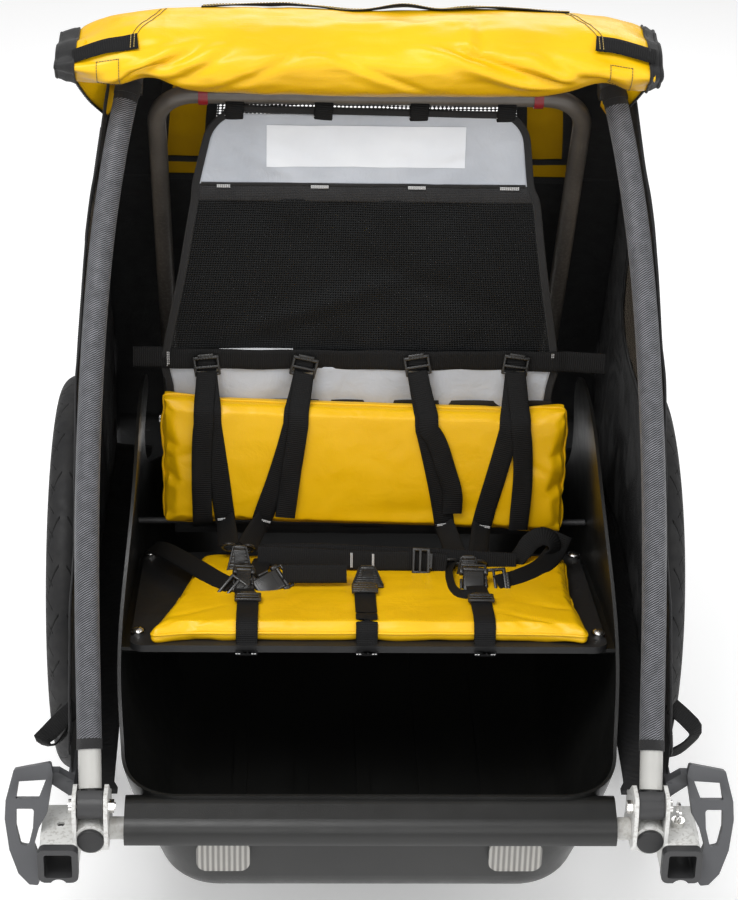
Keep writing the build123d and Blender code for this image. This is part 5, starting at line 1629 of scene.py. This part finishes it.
def shoulder_strap(adjuster, main, free_end, tail):
    x, z = adjuster
    along = Vector((x - main[1][0], 0, z - main[1][1])).normalized()
    ladder(adjusters, back_point(x, z, 9.5), along, BACK_NORMAL, 32.0, 26.0)
    link = [back_point(x, z + 8, 6.5), back_point(x, z + 2, 8.5), back_point(x, z - 8, 8.0)]
    ribbon(adjuster_webbing, link, BACK_NORMAL, width=0.0235, thick=0.0018)

    body = over_back(main, 2.2)
    path, normals = over_pad_top(adjuster, main, 2.2, 10.5)
    path += body
    sewn = len(path) - 2
    end = point(*free_end)
    middle = (path[-1] + end) / 2 + Vector((0, -0.001, 0.0015))
    path += [middle, end]
    end_normals = [Vector((0, -0.92, 0.38)), Vector((0, -0.88, 0.48))]
    ribbon(straps, path, normals + [BACK_NORMAL] * len(body) + end_normals,
           width=0.0250, thick=0.0019)
    down = tangent(path, sewn)
    across = down.cross(BACK_NORMAL).normalized()
    tack(tacks, path[sewn] + BACK_NORMAL * 0.0030, across * 0.0195, down, BACK_NORMAL,
         rows=2, gap=1.7, lift=0.0003)
    # the doubled end below the stitching
    doubled = [path[sewn] + BACK_NORMAL * 0.0017, middle + Vector((0, -0.0017, 0.0008)),
               end + Vector((0, -0.0015, 0.0010))]
    ribbon(straps, doubled, [BACK_NORMAL] + end_normals, width=0.0250, thick=0.0018)

    # the tail lifts off the cushion and twists toward its end
    body = over_back(tail, 5.2)
    path, normals = over_pad_top(adjuster, tail, 5.2, 13.5)
    for i, spot in enumerate(body):
        path.append(spot + Vector((0, -0.0045 * max(0.0, (i / len(body) - 0.6)), 0)))
        twist = Vector((0.16 * math.sin(i * 0.35 + x), 0, 0))
        normals.append((BACK_NORMAL + twist).normalized())
    ribbon(straps, path, normals, width=0.0245, thick=0.0018)


def crotch_strap(x, end_y):
    """Strap from under the board, round its front edge and back over the cushion."""
    edge = wrap(SEAT_TREE, seat_point(x, -309, 12), (-22, -6, 10, 26, 42, 58, 74), 3.8, 11.0)
    top = over_seat([(x, -300), (x, lerp(-300, end_y, 0.5)), (x, end_y + 4)],
                    [(0, 3.6), (0.35, 2.4), (0.75, 2.2), (1.0, 3.6)])
    path = [seat_point(x, -292, -6.2), seat_point(x, -322, -6.2),
            point(x, -339.0, seat_z(-336) - 5.0), point(x, -341.5, seat_z(-337) + 2)]
    normals = [(0, 0, -1), (0, 0, -1), (0, -0.9, -0.4), (0, -1, 0.1)]
    path += [spot for spot, ray in edge] + top
    normals += [ray for spot, ray in edge] + [SEAT_NORMAL] * len(top)
    ribbon(straps, path, normals, width=0.0250, thick=0.0019)
    ladder(buckles, on_seat(x, end_y, 4.6), (0, 1, -0.19), SEAT_NORMAL, 31.0, 20.0)
    for shift in (-9.0, 9.0):
        tack(tacks, point(x + shift, -342.8, seat_z(-337) - 1.0), Vector((0.006, 0, 0)),
             Vector((0, 0, 1)), (0, -1, 0), rows=1, gap=1.0, lift=0.0004)


def right_buckles():
    """Tongue that joins the right seat's shoulder straps, two sockets and a ladder."""
    tongue(buckles, point(-152, -140, 348), (0.0, -0.50, -0.86), BELT_NORMAL, 34.0, 18.0, 34.0)
    for sign, x, z in ((-1, -165, 353), (1, -143, 351)):
        ring(buckles, point(x, -112, z), (0.0080, 0, 0), (0, -0.003, 0.0065), 0.0017)
        ring(buckles, point(-152 + sign * 9, -160, 334), (0.0055, 0.0, 0), (0, -0.005, 0.008),
             0.0015)
    buckle_socket(buckles, on_seat(-146, -205, 7.0), (0.03, 1, -0.1), (0, -0.4, 1), 27.0, 36.0)
    ribbon(straps, over_seat([(-146, -212), (-144, -230), (-141, -252)], 4.0), SEAT_NORMAL,
           width=0.0240, thick=0.0019)
    ladder(buckles, point(-158, -218, 357), (0.66, -0.72, 0.05), (-0.1, -0.6, 0.8), 31.0, 26.0)
    buckle_socket(buckles, point(-115, -203, 355), (0.80, 0.56, 0.1), (0.08, -0.6, 0.8),
                  35.0, 40.0)
    ribbon(straps, points([(-129, -196, 353), (-130, -176, 354), (-126, -150, 352),
                           (-124, -128, 346)]),
           [(-0.1, -0.6, 0.8)] * 4, width=0.0230, thick=0.0018)


# stations and face normals of the sling loop beside the left seat's buckle
SLING = [(105, -128, 341), (99, -152, 344), (96, -180, 347), (97, -210, 352), (105, -232, 357),
         (118, -238, 359), (129, -234, 358)]
SLING_NORMALS = [(-0.5, -0.5, 0.7), (-0.7, -0.4, 0.6), (-0.7, -0.4, 0.6), (-0.5, -0.5, 0.7),
                 (-0.2, -0.6, 0.8), (0, -0.6, 0.8), (0, -0.6, 0.8)]


def left_buckles():
    """Rings on the left seat's shoulder straps, the closed buckle and the sling beside it."""
    for centre in ((104, -126, 340), (117, -138, 342), (137, -132, 342)):
        ring(buckles, point(*centre), (0.0100, 0.0, 0.001), (-0.001, -0.004, 0.0075), 0.0020)
    buckle_socket(buckles, point(127, -199, 353), (0.02, 1, -0.1), (0, -0.55, 0.83), 35.0, 44.0)
    ladder(buckles, point(154, -196, 354), (0.98, 0.10, 0.02), (0.0, -0.6, 0.8), 38.0, 27.0)
    tongue(buckles, point(124, -150, 345), (0.0, -0.7, -0.4), BELT_NORMAL, 32.0, 20.0, 28.0)
    ribbon(straps, points(SLING), SLING_NORMALS, width=0.0220, thick=0.0018)
    ribbon(straps, over_seat([(129, -210), (131, -230), (132, -252)], 4.0), SEAT_NORMAL,
           width=0.0240, thick=0.0018)


def centre_buckles():
    tongue(buckles, on_seat(1, -192, 7.0), (0, -1, 0.1), (0, -0.35, 1), 38.0, 20.0, 28.0)
    ladder(buckles, on_seat(-3, -222, 5.4), (0, 1, -0.19), SEAT_NORMAL, 31.0, 18.0)
    ribbon(straps, over_seat([(0, -200), (-2, -212), (-3, -226)], 3.4), SEAT_NORMAL,
           width=0.0245, thick=0.0018)


RIGHT_BELT = [(-262, -62, 322), (-247, -85, 333), (-225, -118, 341), (-200, -156, 348),
              (-178, -190, 354), (-160, -214, 358)]
LEFT_BELT = [(156, -200, 355), (184, -178, 351), (211, -146, 345), (231, -104, 339),
             (240, -84, 342), (246, -72, 350)]
LEFT_BELT_NORMALS = [(0, -0.6, 0.8), (0.0, -0.6, 0.8), (-0.1, -0.6, 0.8), (-0.2, -0.7, 0.7),
                     (-0.2, -0.8, 0.5), (-0.1, -0.9, 0.3)]
BELT_LOOP = [(160, -122, 334), (180, -118, 336), (194, -106, 344), (204, -96, 353),
             (219, -92, 359), (232, -94, 353), (233, -100, 341), (221, -106, 333)]
BELT_LOOP_NORMALS = [(0, -0.85, 0.5), (-0.1, -0.8, 0.55), (-0.45, -0.6, 0.55), (-0.3, -0.4, 0.85),
                     (0.1, -0.4, 0.9), (0.6, -0.5, 0.6), (0.6, -0.7, -0.1), (0.2, -0.9, -0.3)]
# belts across the middle, before they are raised clear of the crowned cushion
FRONT_BELT = [(-130, -128, 350), (-104, -129, 350), (-79, -129, 349), (-21, -129, 346),
              (24, -128, 344), (66, -128, 344), (98, -128, 340)]
REAR_BELT = [(-124, -116, 347), (-60, -112, 346), (20, -110, 341), (90, -110, 339),
             (150, -112, 336), (184, -112, 334)]
LOW_BELT = [(-100, -183, 358), (-80, -184, 359), (-55, -184, 359), (-24, -183, 359)]
BELT_RAISE = Vector((0, -0.015, 0.0088))


def lap_belt_webbing():
    ribbon(lap_belts, points(RIGHT_BELT), [(0.15, -0.6, 0.8)] * 6, width=0.0250, thick=0.0019)
    ribbon(lap_belts, points(LEFT_BELT), LEFT_BELT_NORMALS, width=0.0250, thick=0.0019)
    ribbon(lap_belts, points(BELT_LOOP), BELT_LOOP_NORMALS, width=0.0240, thick=0.0018)
    front, rear, low = ([spot + BELT_RAISE for spot in points(table)]
                        for table in (FRONT_BELT, REAR_BELT, LOW_BELT))
    normals = [(BELT_NORMAL + Vector((0, 0.0, 0.1 * math.sin(i)))).normalized() for i in range(7)]
    ribbon(lap_belts, front, normals, width=0.0240, thick=0.0019)
    ribbon(lap_belts, rear, Vector((0, -0.80, 0.60)), width=0.0220, thick=0.0018)
    ladder(buckles, point(67, -131, 346) + BELT_RAISE, (1, 0, -0.03), BELT_NORMAL, 31.0, 22.0)
    ribbon(lap_belts, low, BELT_NORMAL, width=0.0220, thick=0.0018)
    ribbon(lap_belts, [spot + Vector((0, 0.0030, -0.0012)) for spot in low], BELT_NORMAL,
           width=0.0220, thick=0.0018)
    for x in (-17.0, 9.0):
        tack(tacks, point(x, -130.4, 346.6 - 0.05 * (x + 14)) + BELT_RAISE,
             Vector((0, 0.0085, 0.0155)), Vector((1, 0, 0)), BELT_NORMAL, rows=2, gap=1.5,
             lift=0.0006)


def seat_screw_heads():
    """Domed heads of the four seat screws on their washers."""
    shape = Shape()

    def circle(place, radius, height):
        angles = [2 * math.pi * j / 24 for j in range(24)]
        return [place @ Vector((radius * MILLI * math.cos(angle),
                                radius * MILLI * math.sin(angle), height * MILLI))
                for angle in angles]

    for sign in (-1, 1):
        for y in (-300, -42):
            place = frame_at(seat_point(sign * 265, y, 4.2), (1, 0, 0), (0, 0.05, 1))
            washer = [circle(place, 8.6, height) for height in (0.0, 3.6, 4.6)]
            tilts = [math.pi / 2 * i / 8 for i in range(9)]
            dome = [circle(place, 7.2 * math.cos(tilt), 4.6 + 4.0 * math.sin(tilt))
                    for tilt in tilts]
            for rows in (washer, dome):
                shape.grid(rows, (0.002, 0.001), close_u=True)
    shape.make("seat_screw_heads", "chrome", "base", angle=35)


for strap_row in SHOULDER_STRAPS:
    shoulder_strap(*strap_row)
for strap_x, strap_end_y in ((-140.0, -250.0), (-3.0, -225.0), (132.0, -250.0)):
    crotch_strap(strap_x, strap_end_y)
right_buckles()
left_buckles()
centre_buckles()
lap_belt_webbing()
seat_screw_heads()
buckles.make("harness_buckle_set", "buckle", "base", angle=40, replaces=["harness_buckles"])
lap_belts.make("lap_belt_webbing", "web", "base", replaces=["lap_belts"])
straps.make("shoulder_and_crotch_webbing", "web", "base",
            replaces=["shoulder_straps", "crotch_straps"])
tacks.make("harness_tacks", "white_thread", "base")
folding.append(adjusters.make("shoulder_adjusters", "buckle", angle=40))
folding.append(adjuster_webbing.make("shoulder_adjuster_webbing", "web"))
for piece in folding:
    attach(piece, "base")
    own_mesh(piece)

# ------------------------------------------------------------------ side panels with windows
# z, distance of the panel from the middle plane
SIDE_X = [(236, 334.8), (610, 334.8), (690, 331.6), (745, 327.6), (800, 320.8), (850, 312.8),
          (906, 304.0)]
# outlines as (y, z)
SIDE_OUTLINE = [(-452, 296), (-438, 280), (-380, 272), (-250, 272), (-130, 280), (-45, 296),
                (45, 296), (130, 280), (256, 268), (345, 268), (352, 330), (336, 430),
                (222, 700), (118, 880), (96, 905), (18, 905), (14, 890)]
WINDOW = [(-262, 500), (-60, 766), (10, 800), (58, 800), (150, 640), (172, 560), (150, 520),
          (-40, 520)]
WINDOW_CENTRE = (-20, 640)
ZIP_LINE = [(-300, 470), (-200, 596), (-100, 716), (-40, 790), (6, 846)]
HEM_LINE = [(-430, 300), (-395, 292), (-340, 330), (-280, 386), (-220, 436), (-150, 470),
            (-70, 490), (10, 492), (70, 482)]
SHEET_STEP = 8.0                           # spacing of the points inside a flat sheet
blended = []                               # pieces gathered here, their transforms baked into their meshes


def inside(spot, outline):
    x, y = spot
    within = False
    for (x0, y0), (x1, y1) in zip(outline, outline[-1:] + outline[:-1]):
        if (y0 > y) != (y1 > y) and x < (x1 - x0) * (y - y0) / (y1 - y0) + x0:
            within = not within
    return within


def soften(outline, radius, step):
    """Outline with rounded corners and points no further apart than about a step."""
    curve = []
    for i in range(len(outline)):
        before, corner = Vector(outline[i - 1]), Vector(outline[i])
        after = Vector(outline[(i + 1) % len(outline)])
        start, end = (corner + (other - corner).normalized()
                      * min(radius, (other - corner).length * 0.45) for other in (before, after))
        for k in range(6):
            share = k / 5
            curve.append((1 - share) ** 2 * start + 2 * share * (1 - share) * corner
                         + share * share * end)
    out = []
    for start, end in zip(curve, curve[1:] + curve[:1]):
        count = max(1, int((end - start).length / step))
        out += [tuple(start.lerp(end, i / count)) for i in range(count)]
    return out


def flat_sheet(outer, hole=()):
    """Triangulated flat sheet inside an outline and outside a hole."""
    hole = list(hole)
    border = outer + hole
    spots = [Vector(spot) for spot in border]
    edges = []
    for base, loop in ((0, outer), (len(outer), hole)):
        edges += [(base + i, base + (i + 1) % len(loop)) for i in range(len(loop))]

    def covered(spot):
        return inside(spot, outer) and not (hole and inside(spot, hole))

    low_y, high_y = min(y for y, z in outer), max(y for y, z in outer)
    low_z, high_z = min(z for y, z in outer), max(z for y, z in outer)
    row = 0
    z = low_z + SHEET_STEP / 2
    while z < high_z:
        y = low_y + SHEET_STEP / 2 + (SHEET_STEP / 2 if row % 2 else 0)
        while y < high_y:
            if covered((y, z)):
                nearest = min((y - edge_y) ** 2 + (z - edge_z) ** 2 for edge_y, edge_z in border)
                if nearest > (SHEET_STEP * 0.45) ** 2:
                    spots.append(Vector((y, z)))
            y += SHEET_STEP
        z += SHEET_STEP * 0.87
        row += 1
    verts, _, faces, *_ = delaunay_2d_cdt(spots, edges, [], 0, 1e-5)
    kept = []
    for face in faces:
        if covered(sum((verts[i] for i in face), Vector((0, 0))) / len(face)):
            kept.append(tuple(face))
    return verts, kept


def side_point(sign, y, z, off=0.0):
    return point(sign * (piecewise(SIDE_X, z) + off), y, z)


def side_wave(sign, y, z):
    """Fullness of the side cloth, drawn in near the wheel to stay clear of it."""
    wave = 2.0 * waver(y, z, 3.0 * sign, 0.011) + 1.0 * waver(y * 1.3, z, 7.0, 0.03)
    wave += 2.0 * math.sin((z - 0.9 * y) / 26.0) * bell(z - 480, 40.0) * 0.7
    from_wheel = math.hypot(y, z - 250.0)
    if from_wheel < 300.0:
        return lerp(wave - 1.0, -3.2 + 0.5 * wave, min(1.0, (300.0 - from_wheel) / 40.0))
    return wave - 1.0


def on_side(sign, line, lift, fullness=1.0):
    """Points of a (y, z) line laid on the side cloth."""
    return [side_point(sign, y, z, side_wave(sign, y, z) * fullness + lift) for y, z in line]


OUTLINE = soften(SIDE_OUTLINE, 16.0, 6.0)
WINDOW_EDGE = soften(WINDOW, 26.0, 6.0)
CLOTH_SHEET = flat_sheet(OUTLINE, WINDOW_EDGE)
FILM_SHEET = flat_sheet(WINDOW_EDGE)


def side_sheet(sign, sheet, lift, fullness):
    verts, faces = sheet
    shape = Shape()
    shape.verts = [tuple(spot) for spot in on_side(sign, verts, lift, fullness)]
    shape.faces = [face if sign > 0 else face[::-1] for face in faces]
    shape.uvs = [tuple((verts[i].x * MILLI, verts[i].y * MILLI) for i in face)
                 for face in shape.faces]
    return shape


def side_trim(side, sign):
    """Binding round the window and the panel, twin stitch lines, and a coil zip."""
    binding, thread_rows, zipper = Shape(), Shape(), Shape()
    outward = Vector((sign, 0, 0.05))
    loop = WINDOW_EDGE + WINDOW_EDGE[:1]
    ribbon(binding, on_side(sign, loop[::2] + loop[-1:], 0.9), outward,
           width=0.013, thick=0.0020, steps=220)
    for k in (-1, 1):
        scaled = [(lerp(WINDOW_CENTRE[0], y, 1.0 + k * 0.012),
                   lerp(WINDOW_CENTRE[1], z, 1.0 + k * 0.014)) for y, z in WINDOW]
        stitches(thread_rows, on_side(sign, soften(scaled, 26.0, 12.0), 2.2), (sign, 0, 0),
                 pitch=0.0042, size=0.003, radius=0.0005)
    loop = OUTLINE + OUTLINE[:1]
    ribbon(binding, on_side(sign, loop[::3] + loop[-1:], 0.4), outward,
           width=0.012, thick=0.0024, steps=420)
    for shift in (-3.2, 3.2):
        tape = [side_point(sign, y + shift * 0.8, z - shift * 0.6, side_wave(sign, y, z) + 1.2)
                for y, z in ZIP_LINE]
        ribbon(zipper, tape, outward, width=0.0030, thick=0.0018)
    reach = Vector((0, 0.0016, -0.0012))
    for spot in spline(on_side(sign, ZIP_LINE, 2.0), 200):
        tube(zipper, [spot - reach, spot, spot + reach], 0.0006, 5, 2)
    blended.append(binding.make(f"side_binding_{side}", "binding"))
    blended.append(thread_rows.make(f"side_stitching_{side}", "dark_thread"))
    blended.append(zipper.make(f"side_zip_{side}", "binding"))


def skirt_return(side, sign):
    """Cloth from over the side rail out to the panel and up its inside."""
    def floor_point(along, outward):
        y = lerp(-452.0, 318.0, along)
        if y < 40:
            low = max(min(236.0 + (y + 497.0) * 0.114 - 7.0, 277.0), 226.0)
        else:
            low = lerp(277.0, 262.0, min(1.0, (y - 40) / 120.0))
        x = lerp(286.5 if -440 < y < 280 else 282.0, 331.5, outward)
        return point(sign * x, y, low + 1.5 * waver(x, y, 3.0, 0.03)
                     + lerp(0.0, 4.0, outward ** 3))
    shape = Shape()
    rows = lattice(80, 8, floor_point)
    shape.grid(rows, (0.006, 0.0096))
    wall = []
    for i, row in enumerate(rows):
        y = lerp(-452.0, 318.0, i / 80)
        top = side_point(sign, y, 302.0 if y > -440 else 298.0, -3.0)
        wall.append([row[-1].lerp(top, j / 5) for j in range(6)])
    shape.grid(wall, (0.006, 0.0096))
    blended.append(shape.make(f"side_skirt_return_{side}", "cloth", thick=0.001, offset=0.0))


def side_hem(side, sign):
    """Webbing strip along HEM_LINE, with small moulded hooks."""
    hem, hooks = Shape(), Shape()
    ribbon(hem, on_side(sign, HEM_LINE, 2.0), Vector((sign, 0, 0.1)), width=0.020, thick=0.0020)
    line = spline(on_side(sign, HEM_LINE, 3.4), 14)
    for k in range(1, 14, 2):
        blocks(hooks, frame_at(line[k], tangent(line, k), (sign, 0, 0)),
               [(0, 0, 0.6, 9.0, 14.0, 2.6, 1.0), (0, -5.0, 2.2, 8.0, 3.6, 3.6, 1.3)])
    blended.append(hem.make(f"side_hem_{side}", "web"))
    blended.append(hooks.make(f"side_hem_hooks_{side}", "black", angle=40))


for side_name, side_sign in SIDES:
    blended.append(side_sheet(side_sign, CLOTH_SHEET, 0.0, 1.0).make(
        f"side_sheet_{side_name}", "cloth", thick=0.0011, replaces=[f"side_panel_{side_name}"]))
    blended.append(side_sheet(side_sign, FILM_SHEET, 0.4, 1.2).make(
        f"side_film_{side_name}", "film", replaces=[f"side_window_{side_name}"]))
    side_trim(side_name, side_sign)
    skirt_return(side_name, side_sign)
    side_hem(side_name, side_sign)

# ------------------------------------------------------------------ rear panel
# "down" is the share of the way from the panel's top to its foot; x runs from -1 to 1
REAR_SECTION = [(100.5, 908.5), (123, 882), (175, 790), (227, 702), (290, 556), (341, 432),
                (355, 366), (357, 330), (351, 268)]    # y, z
REAR_PATH = spline([Vector((0, y, z)) for y, z in REAR_SECTION], 120)
STRIP_END, WINDOW_END = 0.055, 0.30        # foot of the top strip and of the mesh window
SILL_END = WINDOW_END + 0.05
MESH_X, BAND_X = 0.60, 0.78                # outer x of the mesh and of the yellow bands


def rear_point(x, down, off=0.0):
    """Point on the rear panel and its outward normal."""
    along = max(0.0, min(119.999, down * 120))
    k = int(along)
    spot = REAR_PATH[k].lerp(REAR_PATH[k + 1], along - k)
    slope = tangent(REAR_PATH, k)
    normal = Vector((0, -slope.z, slope.y))
    # tangent() spans both neighbours of station k
    wide = x * (piecewise(SIDE_X, spot.z) - 1.2)
    wave = 2.4 * waver(wide, spot.z, 9.0, 0.010) + 1.2 * waver(wide, spot.z, 2.0, 0.03)
    wave *= min(1.0, (1 - abs(x)) * 7.0) * min(1.0, down * 12, (1 - down) * 12)
    spot = spot + normal * (wave + off)
    return point(wide, spot.y, spot.z), normal


def rear_patch(name, material, x0, x1, top, foot, columns, rows, thick=0.001, replaces=()):
    shape = Shape()
    shape.grid(lattice(rows, columns, lambda down, across: rear_point(
                   lerp(x0, x1, across), lerp(top, foot, down))[0]),
               lambda i, j: (lerp(x0, x1, j / columns) * 0.33, lerp(top, foot, i / rows) * 0.72))
    blended.append(shape.make(name, material, thick=thick, offset=0.0, replaces=replaces))


def rear_row(x0, x1, down, steps, off):
    """Line across the rear panel."""
    return [rear_point(lerp(x0, x1, k / steps), down, off)[0] for k in range(steps + 1)]


def rear_column(x, top, foot, steps, off):
    """Line down the rear panel."""
    return [rear_point(x, lerp(top, foot, k / steps), off)[0] for k in range(steps + 1)]


def rear_gusset(side, sign):
    """Short cloth from the foot of the rear panel down behind the tub's corner."""
    def place(down, outward):
        z = lerp(292.0, 190.0, down)
        y = 352.0 - 6.0 * down + 1.5 * waver(outward * 112, z, 3.0, 0.05)
        return point(sign * lerp(214.0, 334.0, outward), y, z)
    shape = Shape()
    shape.grid(lattice(12, 16, place), (0.0075, 0.0085))
    blended.append(shape.make(f"rear_gusset_{side}", "cloth", thick=0.001, offset=0.0))


def rear_trim():
    """Bindings on both faces, a stitch line near each edge, and a pale tape."""
    binding, thread_rows, tape = Shape(), Shape(), Shape()
    for x in (-BAND_X, -MESH_X, MESH_X, BAND_X):
        ribbon(binding, rear_column(x, STRIP_END, WINDOW_END, 16, -1.2),
               Vector((0, -0.85, -0.5)), width=0.013, thick=0.0020)
        ribbon(binding, rear_column(x, STRIP_END, WINDOW_END, 16, 0.9),
               Vector((0, 0.85, 0.5)), width=0.013, thick=0.0022)
    for down in (STRIP_END, WINDOW_END, SILL_END):
        normal = rear_point(0, down)[1]
        ribbon(binding, rear_row(-0.95, 0.95, down, 30, 1.0), normal,
               width=0.014, thick=0.0022, steps=150)
        ribbon(binding, rear_row(-0.78, 0.78, down, 30, -1.2), -normal,
               width=0.012, thick=0.0020, steps=150)
    for sign in (-1, 1):
        ribbon(binding, rear_column(sign * 0.999, 0.0, 1.0, 24, 0.8),
               Vector((sign * 0.6, 0.7, 0.4)), width=0.011, thick=0.0024)
        stitches(thread_rows, rear_column(sign * 0.972, 0.01, 0.99, 24, 0.9), (0, 1, 0.3),
                 pitch=0.0042, size=0.003, radius=0.0005)
    ribbon(tape, rear_row(-0.9, 0.9, 0.68, 24, 1.1), rear_point(0, 0.68)[1],
           width=0.022, thick=0.0012, steps=140)
    ribbon(binding, rear_row(-0.8, 0.8, 0.62, 24, 1.6), rear_point(0, 0.62)[1],
           width=0.016, thick=0.0022, steps=140)
    blended.append(binding.make("rear_binding", "binding"))
    blended.append(thread_rows.make("rear_stitching", "dark_thread"))
    blended.append(tape.make("rear_tape", "label"))


rear_patch("rear_top_strip", "yellow", -1, 1, 0.0, STRIP_END, columns=120, rows=8)
rear_patch("rear_mesh_window", "rearmesh", -MESH_X, MESH_X, STRIP_END, WINDOW_END,
           columns=100, rows=50, thick=None)
for side_name, side_sign in SIDES[::-1]:
    rear_patch(f"rear_band_{side_name}", "yellow", side_sign * MESH_X, side_sign * BAND_X,
               STRIP_END, SILL_END, columns=10, rows=50)
    rear_patch(f"rear_shoulder_{side_name}", "cloth", side_sign * BAND_X, side_sign * 1.0,
               STRIP_END, SILL_END, columns=14, rows=50)
rear_patch("rear_window_sill", "yellow", -MESH_X, MESH_X, WINDOW_END, SILL_END,
           columns=80, rows=8)
rear_patch("rear_lower_panel", "cloth", -1, 1, SILL_END, 1.0, columns=130, rows=80,
           replaces=["rear_panel"])
for side_name, side_sign in SIDES[::-1]:
    rear_gusset(side_name, side_sign)
rear_trim()
for piece in blended:
    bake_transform(piece)

# ------------------------------------------------------------------ pull loops
# x, z of the webbing loop at the front of each side
PULL_LOOPS = [
    [(-326, 328), (-344, 313), (-358, 298), (-366, 288), (-358, 277), (-346, 280), (-334, 300),
     (-327, 318)],
    [(336, 330), (352, 318), (364, 302), (352, 282), (334, 267), (330, 280), (336, 306),
     (333, 324)],
]


def pull_loops():
    shape = Shape()
    for table in PULL_LOOPS:
        path = [point(x, -418 - 10 * math.sin(k * 0.7), z) for k, (x, z) in enumerate(table)]
        centre = sum(path, Vector()) / len(path)
        normals = [((spot - centre).normalized() * 0.75 + Vector((0, -0.65, 0))).normalized()
                   for spot in path]
        ribbon(shape, path, normals, width=0.020, thick=0.0019)
    shape.make("pull_loops", "web", "base", replaces=["strap_loops"])


pull_loops()


# ------------------------------------------------------------------ room, light, camera
def stage_floor():
    half = 9
    mesh = bpy.data.meshes.new("floor")
    corners = [(-half, -half, 0), (half, -half, 0), (half, half, 0), (-half, half, 0)]
    mesh.from_pydata(corners, [], [(0, 1, 2, 3)])
    floor = bpy.data.objects.new("floor", mesh)
    bpy.context.scene.collection.objects.link(floor)
    mat = Shader("floor_paint")
    mat.set(Base_Color=(0.90, 0.90, 0.90), Roughness=0.85, Specular_IOR_Level=0.1,
            Emission_Color=(1.0, 1.0, 1.0), Emission_Strength=0.30)
    mat.bump(mat.noise(scale=60.0), distance=0.0003, strength=0.2)
    mesh.materials.append(mat.material)


def studio_world():
    """White surroundings, full strength to the camera and dimmer as a light."""
    world = bpy.data.worlds.new("studio")
    bpy.context.scene.world = world
    world.use_nodes = True
    tree = world.node_tree
    tree.nodes.clear()
    output = tree.nodes.new("ShaderNodeOutputWorld")
    mix = tree.nodes.new("ShaderNodeMixShader")
    rays = tree.nodes.new("ShaderNodeLightPath")
    tree.links.new(rays.outputs["Is Camera Ray"], mix.inputs[0])
    for index, strength in ((1, 0.50), (2, 1.0)):
        background = tree.nodes.new("ShaderNodeBackground")
        background.inputs[0].default_value = (1.0, 1.0, 1.0, 1.0)
        background.inputs[1].default_value = strength
        tree.links.new(background.outputs[0], mix.inputs[index])
    tree.links.new(mix.outputs[0], output.inputs[0])


def area_light(name, location, target, width, power, height=None):
    light = bpy.data.lights.new(name, "AREA")
    light.shape = "RECTANGLE"
    light.size = width
    light.size_y = height or width
    light.energy = power
    lamp = bpy.data.objects.new(name, light)
    bpy.context.scene.collection.objects.link(lamp)
    lamp.location = location
    aim = Vector(target) - Vector(location)
    lamp.rotation_euler = aim.to_track_quat("-Z", "Y").to_euler()


def place_camera(place, pitch, yaw, roll, lens_mm):
    """Camera looking along +Y, pitched down, turned toward +X and rolled, in degrees."""
    pitch, yaw, roll = math.radians(pitch), math.radians(yaw), math.radians(roll)
    forward = Vector((math.sin(yaw) * math.cos(pitch), math.cos(yaw) * math.cos(pitch),
                      -math.sin(pitch)))
    level = Vector((math.cos(yaw), -math.sin(yaw), 0.0))
    upward = level.cross(forward)
    right = level * math.cos(roll) + upward * math.sin(roll)
    top = upward * math.cos(roll) - level * math.sin(roll)
    data = bpy.data.cameras.new("camera")
    data.sensor_fit = "VERTICAL"
    data.sensor_height = 36.0
    data.lens = lens_mm
    data.clip_start = 0.05
    camera = bpy.data.objects.new("camera", data)
    bpy.context.scene.collection.objects.link(camera)
    matrix = Matrix((right, top, -forward)).transposed().to_4x4()
    matrix.translation = place
    camera.matrix_world = matrix
    bpy.context.scene.camera = camera


stage_floor()
studio_world()
area_light("key", location=(-1.0, -1.3, 3.0), target=(0, 0, 0.5), width=1.8, power=55, height=1.3)
area_light("fill", location=(2.3, -1.6, 2.1), target=(0, 0, 0.45), width=1.6, power=20)
area_light("front", location=(0.1, -3.2, 1.7), target=(0, 0, 0.4), width=1.6, power=15,
           height=1.0)
area_light("rim", location=(0.4, 2.2, 2.4), target=(0, 0, 0.7), width=1.8, power=26)
place_camera(point(-95.72, -2675.07, 1864.08), pitch=28.214, yaw=2.186, roll=1.423,
             lens_mm=97.654)
bpy.context.scene.view_settings.view_transform = "Standard"
bpy.context.view_layer.update()
